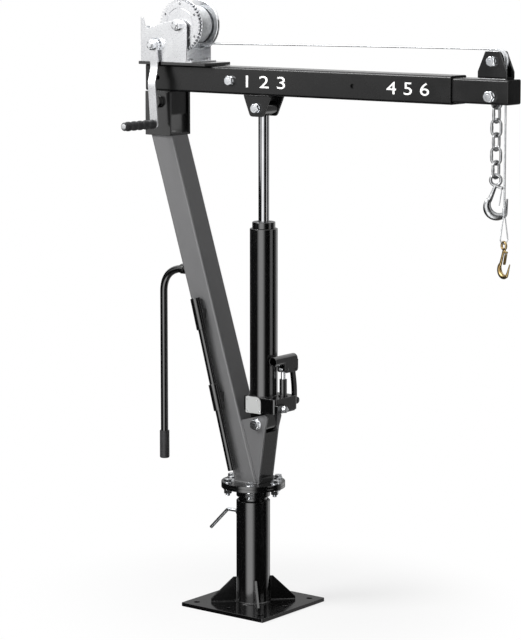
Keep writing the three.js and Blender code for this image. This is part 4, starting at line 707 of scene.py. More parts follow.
mast_side = mast_stretch * mast_half
mast_bore = mast_half - mast_wall
mast_loop = rectangle(-mast_side, mast_side, -mast_half, mast_half, mast_corner)
mast_hollow = rectangle(-mast_stretch * mast_bore, mast_stretch * mast_bore, -mast_bore, mast_bore, 4)
lean = Matrix(((1, 0, -mast_slope, mast_slope * flange_top), (0, 1, 0, 0), (0, 0, 1, 0), (0, 0, 0, 1)))
mast_foot_line = [Vector((p.x * 1.01, p.y * 1.01, flange_top + 0.6)) for p in mast_loop]
# The mast and the bracket's cheeks are the same black paint, given a grey base colour in place of black:
# painted sheen, standing in for the paint's pale reflection on their near faces. The flange, the web and the
# head keep the plain gloss black.
painted_sheen_black = paint("painted_sheen_black", (0.095, 0.095, 0.097), 0.42, 0.1, 0.8, peel_strength=0.16)
piece("mast_dressed",
      [moved(slab([mast_loop, mast_hollow], flange_top - 0.3, mast_top, 0.4), lean),
       bead([*mast_foot_line, mast_foot_line[0]], 2.4, seed=7)],
      painted_sheen_black, "mast", "black_paint", "mast_tube")
piece("mast_flange", [slab([flange_loop, *bolt_holes], flange_middle + 0.1, flange_top, 0.8)],
      gloss_black, "mast", "black_paint")

# Flange bolts: M12 hex bolts with washers and nuts, bright zinc plated
# Their heads are up, and a little of each thread shows under its nut.


def bolt(half, shank, flats, head, washer, nut, tail, nut_washer=False):
    """A bolt along Z through parts from -half to half, its head at the low end and its nut above."""
    washer_thick = 2.4
    low = -half - washer_thick
    high = half + (washer_thick if nut_washer else 0)
    shells = [sleeve(shank + 0.1, washer / 2, low, -half, 0.5),
              hexagon(flats, low, low - head), disc(shank, low - 0.1, high + 0.1, 0.05),
              hexagon(flats, high, high + nut, bore=shank), thread(shank, high, high + nut + tail),
              disc(flats / 2 * 0.55, low - head - 0.35, low - head + 0.2, 0.3)]
    if nut_washer:
        shells.append(sleeve(shank + 0.1, washer / 2, half, high, 0.5))
    return shells


flange_bolt_shells = bolt((flange_top - flange_bottom) / 2, shank=bolt_radius - 0.1, flats=18, head=7.5,
                          washer=23, nut=10, tail=6, nut_washer=True)
heads_up = Matrix.Scale(-1, 4, (0, 0, 1))
for i, (x, y) in enumerate(circle(bolt_circle, bolt_count)):
    place = Matrix.Translation((x, y, flange_middle)) @ heads_up @ Matrix.Rotation(0.4 + 1.3 * i, 4, "Z")
    piece(f"flange_bolt_{i + 1}_dressed", all_moved(flange_bolt_shells, place), bright_zinc, "mast", "zinc",
          f"flange_bolt_{i + 1}")

# Jack bracket: two cheeks of 6 mm plate welded to the mast's front, joined by a folded web
# The jack's pivot bolt passes through both cheeks.
bracket_half = 31
bracket_thick = 6
jack_x = 35
jack_pivot = 491.4
jack_bolt = 8


def mast_front(z):
    return mast_x(z) + mast_side + 0.3


def hole_loop(x, z, radius):
    return [Vector((x + a, z + b)) for a, b in circle(radius, 32)]


def cheeks(loops, half, thick, edge=0.7):
    """A pair of upright plates whose outer faces lie half away from the middle."""
    return all_moved([slab(loops, -half, thick - half, edge), slab(loops, half - thick, half, edge)], upright)


def paired_seams(start, end, half, radius, seed):
    """A straight weld bead between two places of x and z, on both sides of the middle."""
    return [bead([Vector((start[0], y, start[1])), Vector((end[0], y, end[1]))], radius, seed=seed)
            for y in (-half, half)]


bracket_foot = flange_top + 0.3
bracket_toe = 43
bracket_bend = 347
bracket_back = 497.6
web_top = 470
cheek_loop = rounded([
    (mast_front(flange_top), bracket_foot, 0), (bracket_toe, bracket_foot, 0.5),
    (bracket_toe, bracket_bend, 5), (62, 480, 14), (74, 523, 9),
    (mast_front(bracket_back), bracket_back, 0.5)], 8)
web_loop = rounded([
    (bracket_toe - bracket_thick, bracket_foot, 0.3), (bracket_toe, bracket_foot, 0.3),
    (bracket_toe, bracket_bend, 5), (60.6, web_top, 0.5), (60.6 - bracket_thick, web_top, 0.5),
    (bracket_toe - bracket_thick, bracket_bend, 3)], 4)
inside = bracket_half - bracket_thick
seam = 1.8
foot_seam = flange_top + 0.6
# The cheeks take the grey painted-sheen copy of the black paint, and the web the plain gloss black.
piece("jack_bracket_dressed",
      [*cheeks([cheek_loop, hole_loop(jack_x, jack_pivot, jack_bolt + 0.3)], bracket_half, bracket_thick),
       *paired_seams((mast_front(338), 338), (mast_front(496), 496), bracket_half + 0.2, seam, 8),
       *paired_seams((24, foot_seam), (42, foot_seam), bracket_half + 0.2, seam, 9)],
      painted_sheen_black, "mast", "black_paint", "jack_bracket")
piece("jack_bracket_web", [moved(slab([web_loop], -inside - 0.2, inside + 0.2, 0.3), upright)],
      gloss_black, "mast", "black_paint")

# Mast head: a floor plate on the mast's top and two cheeks, which carry the boom's pivot
# The plates are 6 mm, seam welded along the floor.
head_back = -329
head_front = -244
head_half = 42
head_thick = 6
head_floor = 1231
head_top = 1347
boom_pivot = (-284, 1321)
boom_pivot_radius = 10
head_loop = rectangle(head_back, head_front, head_floor, head_top, 2)
head_floor_loop = rectangle(head_back, head_front, -head_half + 1, head_half - 1, 1)
head_inside = head_half - head_thick
head_seam = head_floor + head_thick + 0.6
piece("mast_head_dressed",
      [*cheeks([head_loop, hole_loop(*boom_pivot, boom_pivot_radius + 0.3)], head_half, head_thick),
       slab([head_floor_loop], head_floor, head_floor + head_thick, 0.5),
       *paired_seams((head_back + 4, head_seam), (head_front - 4, head_seam), head_inside - 0.4, 2, 11)],
      gloss_black, "mast", "black_paint", "mast_head")

# Swing handle: a 20 mm rod that leaves the mast's back through a collar, bends and hangs down
# Its end carries a plain rubber sleeve.
swing_rod = 10
swing_height = 875
swing_root = -206.3
swing_stub = 35
swing_x = -303.3
swing_bend = 808
grip_top = 430
grip_bottom = 355
swing_collar = 13.5
swing_corner = Vector((swing_x, 0, swing_height - 7))
stub_end = swing_root - swing_stub
stub_point = Vector((stub_end, 0, swing_height))
swing_line = [Vector((swing_root + 2, 0, swing_height)), stub_point]
for k in range(1, 17):
    t = k / 16
    swing_line.append(stub_point * (1 - t) ** 2 + swing_corner * (2 * t * (1 - t))
                      + Vector((swing_x, 0, swing_bend)) * t ** 2)
swing_line.append(Vector((swing_x, 0, grip_top)))
swing_rim = [(swing_rod + 0.1, stub_end), (swing_collar - 0.5, stub_end), (swing_collar, stub_end + 1),
             (swing_collar, stub_end + 11), (swing_collar - 0.5, stub_end + 12),
             (swing_rod + 0.1, stub_end + 12)]
collar_shell = moved(turned(swing_rim, 48), lengthwise(0, swing_height))
foot_ring = [Vector((swing_root + 1 - mast_slope * b, a, swing_height + b)) for a, b in circle(10.4, 40)]
swing_shell = round_bar(swing_line, [swing_rod] * len(swing_line), 32)
piece("swing_handle_dressed", [swing_shell, collar_shell, bead(foot_ring, 2.2, True, 12)], gloss_black,
      "mast", "black_paint", "swing_handle", crease=40)


def rubber(name, colour, roughness, grain):
    """Moulded rubber: matt, with a fine even grain and a slightly paler bloom in patches."""
    made, tree, surface = new_material(name)
    place = add_node(tree, "TexCoord").outputs["Object"]
    patches = add_node(tree, "TexNoise", {"Vector": place, "Scale": 60.0, "Detail": 3.0}).outputs["Fac"]
    two_tones(tree, remap(tree, patches, 0.35, 0.65, 0, 1), colour, [1.6 * part for part in colour])
    fine = add_node(tree, "TexNoise", {"Vector": place, "Scale": grain, "Detail": 2.0}).outputs["Fac"]
    tree.links.new(remap(tree, fine, 0.3, 0.7, roughness, roughness + 0.12), surface.inputs["Roughness"])
    emboss(tree, fine, 0.3, 0.0003)
    surface.inputs["Specular IOR Level"].default_value = 0.4
    return made


black_rubber = rubber("black_rubber", (0.013, 0.013, 0.014), 0.5, 1400.0)
swing_grip = 13
swing_grip_profile = rounded([
    (0, grip_bottom, 0), (swing_grip, grip_bottom, 3.5), (swing_grip, grip_top, 1),
    (swing_rod + 0.2, grip_top, 0.3), (swing_rod + 0.2, grip_top - 3, 0), (0, grip_top - 3, 0)], 5)
piece("swing_grip_dressed", [moved(turned(swing_grip_profile, 64), at(swing_x))], black_rubber, "mast",
      "black_rubber", "swing_grip")

# Stored pump handle: a 20 mm rod pushed through two sleeves that are clipped to the mast's near side
# The upper sleeve closes round the rod's top end, and the rod's ends are eased.
stored_y = -51.5
stored_top = Vector((-153, stored_y, 810))
stored_bottom = Vector((-31, stored_y, 364))
stored_along = (stored_bottom - stored_top).normalized()
stored_length = (stored_bottom - stored_top).length
stored_place = Matrix.Translation(stored_top) @ stored_along.to_track_quat("Z", "Y").to_matrix().to_4x4()
stored_rod = 10
clip_radius = 13.5
clip_top = 0.8
clip_low = 231.2
stored_shells = [moved(disc(stored_rod, 0, stored_length, 1.5), stored_place)]
for start, length in ((clip_top, 84), (clip_low, 70)):
    stored_shells.append(moved(sleeve(stored_rod + 0.1, clip_radius, start, start + length, 1), stored_place))
    middle = stored_place @ Vector((0, 0, start + length / 2))
    clip_loop = rectangle(middle.x - clip_radius, middle.x + clip_radius, middle.z - clip_radius,
                          middle.z + clip_radius, 3)
    stored_shells.append(moved(slab([clip_loop], stored_y, -mast_half - 0.3, 0.8), upright))
piece("pump_handle_dressed", stored_shells, gloss_black, "mast", "black_paint", "pump_handle", crease=40)

# Pivot bolts: a painted M20 bolt for the boom, and a bright zinc M16 bolt with washers for the jack
# Heads face the near side, and each thread ends a little beyond its nut.


def cross_bolt(name, x, z, half, body, turn, shank, flats, head, washer, material=bright_zinc, finish="zinc"):
    """A bolt along Y through plates whose outer faces lie half away from the middle."""
    place = crosswise(x, z) @ Matrix.Rotation(math.radians(turn), 4, "Z")
    shells = bolt(half + 0.3, shank, flats, head, washer, nut=head, tail=5)
    return piece(f"{name}_dressed", all_moved(shells, place), material, body, finish, name)


cross_bolt("boom_pivot_bolt", *boom_pivot, head_half, "mast", 12, shank=boom_pivot_radius - 0.1, flats=30,
           head=10, washer=33, material=gloss_black, finish="black_paint")
cross_bolt("jack_pivot_bolt", jack_x, jack_pivot, bracket_half, "mast", 8, shank=jack_bolt - 0.1, flats=24,
           head=10, washer=31)

# Jack base: a cast block over a thin foot plate, with the pivot's lug below it
# A boss and barrel for the pump, two ears for the link and a small valve block stand on its sides.
block_low = 528
block_high = 565
block_back = -3
block_front = 104
block_near = -41
block_far = 56
pump_x = 85
pump_y = 18
barrel_top = 610
link_pin = (66, 548)
socket_pin = (57, 636)
valve_y = -22
valve_z = 539
foot_margin = 3
lug_half = 25
lug_bottom = jack_pivot - lug_half
ear_half = 9
ear_thick = 5
ear_left = link_pin[0] - ear_half - 6
ear_right = link_pin[0] + ear_half
cylinder_radius = 36.25
block_loop = rectangle(block_back, block_front, block_near, block_far, 9)
foot_loop = rectangle(block_back + foot_margin, block_front - foot_margin, block_near + foot_margin,
                      block_far - foot_margin, 8)
lug_loop = rounded([(jack_x - lug_half, block_low, 0), (jack_x - lug_half, lug_bottom, lug_half - 0.2),
                    (jack_x + lug_half, lug_bottom, lug_half - 0.2), (jack_x + lug_half, block_low, 0)], 12)
ear_low = link_pin[1] - ear_half
ear_high = link_pin[1] + ear_half
ear_loop = rounded([(ear_left, ear_low, 0), (ear_right, ear_low, ear_half - 0.1),
                    (ear_right, ear_high, ear_half - 0.1), (ear_left, ear_high, 0)], 8)
valve_block = rectangle(valve_y - 18, valve_y + 18, block_low, valve_z + 11, 2)
jack_shells = [slab([block_loop], block_low, block_high, 1.4, 3),
               slab([foot_loop], block_low - foot_margin, block_low + 0.5),
               moved(slab([lug_loop, hole_loop(jack_x, jack_pivot, jack_bolt + 0.3)], -24, 24, 1), upright),
               moved(disc(12.5, block_high - 1, block_high + 4, 1), at(pump_x, pump_y)),
               moved(sleeve(6.3, 9.75, block_high, barrel_top, 0.8), at(pump_x, pump_y)),
               moved(slab([valve_block], block_front - 4, block_front + 8, 1.2), sideways)]
for low in (74.5, 90.5):
    jack_shells.append(moved(slab([ear_loop], low, low + ear_thick, 0.7), sideways))
jack_shells.append(moved(disc(4, 73.5, 96.5, 0.8), lengthwise(*link_pin)))
jack_shells.append(moved(bead(ring_line(cylinder_radius + 0.4, block_high + 0.4), 2, True, 13), at(jack_x)))
piece("jack_base_dressed", jack_shells, gloss_black, "jack", "black_paint", "jack_base")

# Label plate: thin pale sheet riveted on the block's near side, with nothing printed on it
# Its top corners are rounded, and the far one is wider.
label_left = 8
label_right = 57
label_low = 522.5
label_high = 566
label_margin = 6
label_loop = rounded([(label_left, label_low, 1.5), (label_right, label_low, 1.5),
                      (label_right, label_high, 14), (label_left, label_high, 5)], 8)
label_shell = moved(slab([label_loop], block_near - 1.2, block_near + 0.1, 0.3), upright)
pale_plate = paint("pale_plate", (0.36, 0.364, 0.36), 0.38, 0.0, 0.5)
piece("label_plate", [label_shell], pale_plate, "jack", "zinc")
rivet_shell = disc(1.7, block_near - 2, block_near - 1, 0.7)
rivet_places = [(label_left + label_margin, label_low + label_margin),
                (label_right - label_margin, label_low + label_margin),
                (label_left + label_margin, label_high - 8), (label_right - 10, label_high - 8)]
piece("label_rivets", [moved(rivet_shell, crosswise(x, z)) for x, z in rivet_places], bright_zinc, "jack",
      "zinc", crease=50)

# Jack cylinder and gland: a 72.5 mm tube closed by a screwed gland with a wiper ring round the ram
# Both are coated gloss black over a turned surface.
cylinder_top = 1003
gland_top = 1020.5
piece("jack_cylinder_dressed",
      [moved(sleeve(28.3, cylinder_radius, block_high + 0.2, cylinder_top, 1.5), at(jack_x))],
      gloss_black, "jack", "black_paint", "jack_cylinder")
gland_bottom = cylinder_top - 8
gland_rim = cylinder_top + 0.2
gland_bore = 14.3
gland_radius = 30
gland_screw = 28
wiper_step = gland_top - 1.6
wiper_top = gland_top - 0.2
gland_profile = rounded([(gland_bore, gland_bottom, 0), (gland_screw, gland_bottom, 0),
                         (gland_screw, gland_rim, 0), (gland_radius, gland_rim, 0.6),
                         (gland_radius, gland_top, 2.2), (19, gland_top, 0.6), (19, wiper_step, 0.3),
                         (17, wiper_step, 0.3), (17, wiper_top, 0.6), (gland_bore, wiper_top, 0.4)], 3)
piece("jack_gland_dressed", [moved(turned(gland_profile), at(jack_x))], gloss_black, "jack", "black_paint",
      "jack_gland")

# Ram: hard chromed 28 mm rod, ground bright, with a wide black eye for the boom's bolt
# The eye's hole is longer than the bolt, for the boom's arc.
ram_radius = 14
ram_eye = 1314.6
ram_bottom = 703
mirror_chrome = metal("mirror_chrome", (0.3, 0.303, 0.31), (0.36, 0.362, 0.37), (0.05, 0.12), 500, 20, 0.05,
                      stretch=(1, 1, 0.02))
eye_reach = 27
eye_half = 17
eye_wall = 8


def oblong(x, z, reach, half, steps=10):
    """A slot's outline, as wide as twice its reach and with fully rounded ends."""
    corner = half - 0.1
    return rounded([(x - reach, z - half, corner), (x + reach, z - half, corner),
                    (x + reach, z + half, corner), (x - reach, z + half, corner)], steps)


piece("jack_ram_rod", [moved(disc(ram_radius, ram_bottom, ram_eye - 14, 1), at(jack_x))], mirror_chrome,
      "ram", "chrome", "jack_ram")
eye_loop = oblong(jack_x, ram_eye, eye_reach, eye_half)
eye_hole = oblong(jack_x, ram_eye, eye_reach - eye_wall, 9.5)
piece("jack_ram_eye",
      [moved(slab([eye_loop, eye_hole], -23, 23, 1), upright),
       moved(bead(ring_line(ram_radius + 0.3, ram_eye - eye_half - 0.5), seam, True, 14), at(jack_x))],
      gloss_black, "ram", "black_paint")

# Pump: a plunger in the barrel, a rocking socket for the loose handle, and the link that carries it
# Plain pins with domed ends hold them.
plunger_radius = 6
plunger_loop = oblong(pump_y, socket_pin[1], 11, 7, 8)
plunger_slot = oblong(pump_y, socket_pin[1], 8.3, 4.6, 6)
piece("pump_plunger_dressed",
      [moved(disc(plunger_radius, 580, 628.5, 0.6), at(pump_x, pump_y)),
       moved(slab([plunger_loop, plunger_slot], pump_x - 6, pump_x + 6, 0.6), sideways)],
      bright_zinc, "plunger", "zinc", "pump_plunger")
socket_height = 660
socket_radius = 13
cheek_near = pump_x - 13
cheek_far = pump_x + 13
socket_sheet = 3
socket_foot = socket_pin[1] - 9
socket_loop = rounded([(pump_y - 9, socket_height, 0.5), (pump_y - 9, socket_foot, 8.5),
                       (socket_pin[0] + 9, socket_foot, 8.5), (socket_pin[0] + 9, socket_height, 4)], 8)
socket_shells = all_moved([sleeve(10, socket_radius, -27, 61, 0.9), disc(socket_radius, 60.5, 64, 1)],
                          crosswise(pump_x, socket_height))
for low in (cheek_near, cheek_far - socket_sheet):
    socket_shells.append(moved(slab([socket_loop], low, low + socket_sheet, 0.7), sideways))
pin_shells = [disc(4, cheek_near - 1.4, cheek_far + 1.4, 1), disc(6, cheek_near - 1, cheek_near + 0.5, 0.5),
              disc(6, cheek_far - 0.5, cheek_far + 1, 0.5)]
for y in (pump_y, socket_pin[0]):
    socket_shells += all_moved(pin_shells, lengthwise(y, socket_pin[1]))
piece("handle_socket_dressed", socket_shells, gloss_black, "socket", "black_paint", "handle_socket")


def bend_between(a, b, c, d):
    """A cubic curve from a to d, pulled towards b and c."""
    path = []
    for k in range(17):
        t = k / 16
        path.append(Vector(a) * (1 - t) ** 3 + Vector(b) * (3 * t * (1 - t) ** 2)
                    + Vector(c) * (3 * t * t * (1 - t)) + Vector(d) * t ** 3)
    return path


def half_round(centre, radius, start):
    angles = [math.radians(start + 18 * k) for k in range(1, 10)]
    return [Vector((centre[0] + radius * math.cos(a), centre[1] + radius * math.sin(a))) for a in angles]


link_half = 7
link_bow = 7
link_middle = (link_pin[1] + socket_pin[1]) / 2
lower_right = link_pin[0] + link_half
lower_left = link_pin[0] - link_half
upper_right = socket_pin[0] + link_half
upper_left = socket_pin[0] - link_half
link_loop = [*bend_between((lower_right, link_pin[1]), (lower_right, link_middle),
                           (upper_right + link_bow, link_middle), (upper_right, socket_pin[1])),
             *half_round(socket_pin, link_half, 0),
             *bend_between((upper_left, socket_pin[1]), (upper_left + link_bow, link_middle),
                           (lower_left, link_middle), (lower_left, link_pin[1])),
             *half_round(link_pin, link_half, 180)]
piece("pump_link_dressed", [moved(slab([link_loop], 80.5, 89.5, 1), sideways)], gloss_black, "link",
      "black_paint", "pump_link")

# Release valve: a zinc plated stem screwed into the valve block, with a knurled knob and a cross bar
# Turning it lets the oil back, and the ram comes down.
knob_radius = 8
knob_low = 112.6
knob_high = 126.3
valve_shells = [disc(5, 99.3, knob_low + 0.4, 0.5), disc(knob_radius, knob_low, knob_high, 1)]
ridge = disc(0.7, knob_low + 1.4, knob_high - 1.3, 0.4)
valve_shells += [moved(ridge, at(*place)) for place in circle(knob_radius - 0.25, 24)]
valve_shells = all_moved(valve_shells, lengthwise(valve_y, valve_z))
cross_bar = rectangle(valve_y - 11, valve_y + 11, valve_z - 2.5, valve_z + 2.5, 2)
valve_shells.append(moved(slab([cross_bar], 119.3, 126.2, 0.8), sideways))
piece("release_valve_dressed", valve_shells, bright_zinc, "valve", "zinc", "release_valve", crease=40)

# Outer boom: 70 mm square tube with its pivot lug and the ram's bracket welded under it
# Two drilled holes take the boom's lock bolt, a third lies at the back, and a plastic cap closes the rear.
boom_axis = 1383
boom_back = -333
boom_front = 631
boom_half = 35
boom_lock = -48
boom_lock_travel = 388
boom_rear_hole = -291


def drilled(shell, cutters):
    """A shell with each cutter's solid taken out of it."""
    made = []
    for points, faces in (shell, *cutters):
        mesh = bpy.data.meshes.new("blank")
        mesh.from_pydata(points, [], faces)
        shaped = bmesh.new()
        shaped.from_mesh(mesh)
        bmesh.ops.recalc_face_normals(shaped, faces=shaped.faces)
        shaped.to_mesh(mesh)
        shaped.free()
        blank = bpy.data.objects.new("blank", mesh)
        bpy.context.scene.collection.objects.link(blank)
        made.append(blank)
    for cutter in made[1:]:
        cut = made[0].modifiers.new("cut", "BOOLEAN")
        cut.operation = "DIFFERENCE"
        cut.solver = "EXACT"
        cut.object = cutter
    finished = made[0].evaluated_get(bpy.context.evaluated_depsgraph_get()).to_mesh()
    result = ([vertex.co.copy() for vertex in finished.vertices],
              [tuple(face.vertices) for face in finished.polygons])
    for blank in made:
        mesh = blank.data
        bpy.data.objects.remove(blank)
        bpy.data.meshes.remove(mesh)
    return result


def through(x, z, radius):
    """A drill along Y, for a hole that passes through both walls."""
    return moved(disc(radius, -60, 60, 0.01), crosswise(x, z))


on_boom_axis = Matrix.Translation((0, 0, boom_axis)) @ sideways


def square_tube(half, wall, corner, back, front):
    bore = half - wall
    return moved(slab([rectangle(-half, half, -half, half, corner), rectangle(-bore, bore, -bore, bore, 3)],
                      back, front, 0.5), on_boom_axis)


boom_under = boom_axis - boom_half
cheek_top = boom_under + 1.5
cheek_shoulder = 1343
cheek_low = 1293
ram_cheek = rounded([(-6, cheek_top, 0), (-6, cheek_shoulder, 1), (14, cheek_low, 10), (56, cheek_low, 10),
                     (78, cheek_shoulder, 1), (78, cheek_top, 0)], 8)
boom_tube = drilled(square_tube(boom_half, 4, 6, boom_back, boom_front),
                    [through(boom_rear_hole, boom_axis, 6), through(boom_lock, boom_axis, 6.3),
                     through(boom_lock + boom_lock_travel, boom_axis, 6.3)])
boom_lug_loop = rectangle(-320, -250, 1285, boom_under + 1, 3)
boom_lug_hole = hole_loop(*boom_pivot, boom_pivot_radius + 0.4)
boom_lug = moved(slab([boom_lug_loop, boom_lug_hole], -32, 32, 0.8), upright)
satin_black = paint("satin_black", (0.003, 0.003, 0.0031), 0.24, 0.04, 0.45, peel_strength=0.16)
boom_shells = [boom_tube, boom_lug,
               *cheeks([ram_cheek, hole_loop(jack_x, ram_eye, 7.3)], bracket_half, bracket_thick)]
for back, front, half, seed in ((-5, 77, bracket_half, 15), (-319, -251, 32, 16)):
    boom_shells += paired_seams((back, boom_under - 0.6), (front, boom_under - 0.6), half + 0.2, seam, seed)
piece("boom_outer_dressed", boom_shells, satin_black, "boom", "black_paint", "boom_outer")
cap_loop = rectangle(-30.9, 30.9, -30.9, 30.9, 3)
piece("boom_end_cap", [moved(slab([cap_loop], boom_back + 1, boom_back + 4, 0.8), on_boom_axis)],
      black_rubber, "boom", "black_rubber")
cross_bolt("ram_bolt", jack_x, ram_eye, bracket_half, "boom", 20, shank=6.9, flats=22, head=9, washer=25)
cross_bolt("boom_lock_bolt", boom_lock, boom_axis, boom_half, "boom", 3, shank=5.9, flats=22, head=8,
           washer=24)

# Reach scale: white position numbers painted on the outer boom's near face
# The figures are a thin raised film, as a stencil leaves it.
number_white = paint("number_white", (0.82, 0.82, 0.81), 0.45, 0.0, 0.4, peel_strength=0.05)
number_height = 31


def numbers(name, words, left, right):
    """A line of figures in the built-in font, thin and flat on the boom's near face."""
    curve = bpy.data.curves.new(name, "FONT")
    curve.body = words
    curve.extrude = 0.00006
    made = bpy.data.objects.new(name, curve)
    bpy.context.scene.collection.objects.link(made)
    mesh = evaluated_mesh(made)
    bpy.data.objects.remove(made)
    bpy.data.curves.remove(curve)
    low = min(vertex.co.x for vertex in mesh.vertices)
    high = max(vertex.co.x for vertex in mesh.vertices)
    foot = min(vertex.co.y for vertex in mesh.vertices)
    top = max(vertex.co.y for vertex in mesh.vertices)
    wide = (right - left) / (high - low)
    tall = number_height / (top - foot)
    points = [Vector((left + (v.co.x - low) * wide, -boom_half - 0.06 - v.co.z * 1000,
                      boom_axis + (v.co.y - (foot + top) / 2) * tall)) for v in mesh.vertices]
    shell = (points, [tuple(face.vertices) for face in mesh.polygons])
    bpy.data.meshes.remove(mesh)
    return piece(name, [shell], number_white, "boom", "black_paint", crease=30, soft_flats=True)


numbers("scale_numbers_rear", "1 2 3", 4, 130)
numbers("scale_numbers_front", "4 5 6", 443, 569)

# Inner boom: 60 mm square tube that slides in the outer one, closed by a welded end plate
# Slots let the rope down through it and the chain out below.
inner_half = 30
inner_back = -72
inner_front = 790
chain_x = 741
chain_bolt_z = 1372
rope_slot = slab([rectangle(rope_drop_x - 12, rope_drop_x + 12, -8, 8, 3)], 1300, 1430, 0.01)
chain_slot = slab([rectangle(chain_x - 24, chain_x + 24, -20, 20, 3)], 1300, 1370, 0.01)
inner_tube = drilled(square_tube(inner_half, 4, 5, inner_back, inner_front - 1),
                     [rope_slot, chain_slot, through(chain_x, chain_bolt_z, 8.3)])
end_plate = moved(slab([rectangle(-29, 29, -29, 29, 4)], inner_front - 3, inner_front, 0.8), on_boom_axis)
piece("boom_inner_dressed", [inner_tube, end_plate], satin_black, "inner_boom", "black_paint", "boom_inner")

# Sheave bracket: a pad with two tapered cheeks, welded on the inner boom's end
# The sheave turns between them on a zinc bolt, its groove turned to the rope.
sheave_half = 18
sheave_back = sheave_centre.x - 41
sheave_front = sheave_centre.x + 41
pad_low = boom_axis + inner_half
pad_thick = 6
sheave_shoulder = 1431
sheave_crown = 1480
sheave_foot = pad_low + 3
sheave_loop = rounded([(sheave_back, sheave_foot, 0), (sheave_front, sheave_foot, 0),
                       (sheave_front, sheave_shoulder, 3), (sheave_centre.x + 20, sheave_crown, 5),
                       (sheave_centre.x - 20, sheave_crown, 5), (sheave_back, sheave_shoulder, 3)], 6)
sheave_pad = rectangle(sheave_back, sheave_front, -sheave_half, sheave_half, 2)
pad_slot = rectangle(rope_drop_x - 12, sheave_front - 1, -8, 8, 3)
pad_seam = pad_low + 0.8
piece("sheave_bracket_dressed",
      [slab([sheave_pad, pad_slot], pad_low, pad_low + pad_thick, 0.6),
       *cheeks([sheave_loop, hole_loop(sheave_centre.x, sheave_centre.z, 7.3)], sheave_half, 5),
       *paired_seams((sheave_back + 2, pad_seam), (sheave_front - 2, pad_seam), sheave_half + 0.3, seam, 17)],
      gloss_black, "inner_boom", "black_paint", "sheave_bracket")
sheave_rim = 30.5
groove_root = 25.2
sheave_profile = rounded([(7.3, -10, 0.4), (sheave_rim, -10, 0.8), (sheave_rim, -5, 0.8),
                          (groove_root, -2.2, 1.5), (groove_root, 2.2, 1.5), (sheave_rim, 5, 0.8),
                          (sheave_rim, 10, 0.8), (7.3, 10, 0.4)], 4)
piece("sheave_dressed", [moved(turned(sheave_profile), crosswise(sheave_centre.x, sheave_centre.z))],
      bright_zinc, "sheave_wheel", "zinc", "sheave")
cross_bolt("sheave_bolt", sheave_centre.x, sheave_centre.z, sheave_half, "inner_boom", 5, shank=6.9, flats=22,
           head=8, washer=24)
cross_bolt("chain_bolt", chain_x, chain_bolt_z, inner_half, "inner_boom", 25, shank=7.9, flats=24, head=10,
           washer=27)

# Chain: six short links of 7 mm wire, zinc plated, each turned a quarter from the one above it
# One side of each link shows the thicker ring of its butt weld.
link_wire = 3.5
link_round = 13
link_straight = 15
link_step = 33.6
link_top = 1383.8
# The zinc's grey is its own colour, but its tones are set far below the bright zinc's: painted shade,
# standing in for dark surroundings in the links' reflections. The chain hook and its latch use the same
# darkened zinc.
chain_zinc_painted_shade = metal("chain_zinc_painted_shade", (0.27, 0.275, 0.28), (0.46, 0.465, 0.47), (0.18, 0.3), 500, 90, 0.16)
link_weld = 0.45
for i in range(6):
    upper = link_top - i * link_step - link_round
    lower = upper - link_straight
    link_line = []
    for middle, start in ((upper, 0), (lower, 1)):
        for k in range(21):
            angle = math.pi * (start + k / 20)
            link_line.append((link_round * math.cos(angle), middle + link_round * math.sin(angle)))
        if start == 0:
            link_line += [(-link_round, upper - link_straight * k / 8) for k in range(1, 8)]
    link_radii = [link_wire + (link_weld if abs(k - 24.5) < 1.6 else 0) for k in range(len(link_line))]
    if i % 2 == 0:
        ring = round_bar([Vector((chain_x + a, 0, z)) for a, z in link_line], link_radii, 20, True)
    else:
        ring = round_bar([Vector((chain_x, a, z)) for a, z in link_line], link_radii, 20, True, (1, 0, 0))
    piece(f"chain_link_{i + 1}_dressed", [ring], chain_zinc_painted_shade, f"link_{i + 1}", "zinc", f"chain_link_{i + 1}",
          crease=50, soft_flats=True)

# Hooks: forged, each with an eye, a bowl that tapers to its tip and a sprung latch
# The chain's hook is zinc plated and the rope's smaller one is gold passivated.


def hook_shells(eye, eye_wire, bowl, drop, shift, wire, tip_rise, tip_reach, latch_drop, latch_side,
                latch_width):
    """An eye, a body and a latch lug in the hook's own frame, with the eye at the origin."""
    eye_radius = (eye + eye_wire) / 2
    eye_line = [Vector((a, 0, b)) for a, b in circle(eye_radius, 48)]
    centre = Vector((shift, 0, -drop))
    reach = bowl + wire / 2
    points = [Vector((0, 0, -eye_radius))]
    radii = [eye_wire / 2]
    for k in range(11):
        share = k / 10
        angle = math.pi * (3 / 4 + share)
        points.append(centre + Vector((math.cos(angle), 0, math.sin(angle))) * reach)
        radii.append(wire * (0.55 + 0.45 * math.sin(math.pi * share)))
    points.append(Vector((tip_reach, 0, tip_rise - drop)))
    radii.append(0.2 * wire)
    steps = 6
    line = curve_through(points, steps)
    sections = []
    for i in range(len(line)):
        low = min(i // steps, len(radii) - 2)
        radius = radii[low] + (radii[low + 1] - radii[low]) * (i / steps - low)
        sections.append([(a * 0.86, b) for a, b in circle(radius, 24)])
    lug = 0.35 * latch_width
    lug_line = [Vector((0, 0, -eye_radius)), Vector((latch_side, 0, lug + 0.3 - latch_drop))]
    half = latch_width / 2
    barrel = [disc(lug, -half, half, 0.5), disc(lug * 0.5, -half - 1, half + 1, 0.5)]
    return [round_bar(eye_line, [eye_wire / 2] * 48, 20, True), swept(line, sections),
            round_bar(lug_line, [lug, lug * 0.9], 20),
            *all_moved(barrel, Matrix.Translation(lug_line[1]) @ upright)]


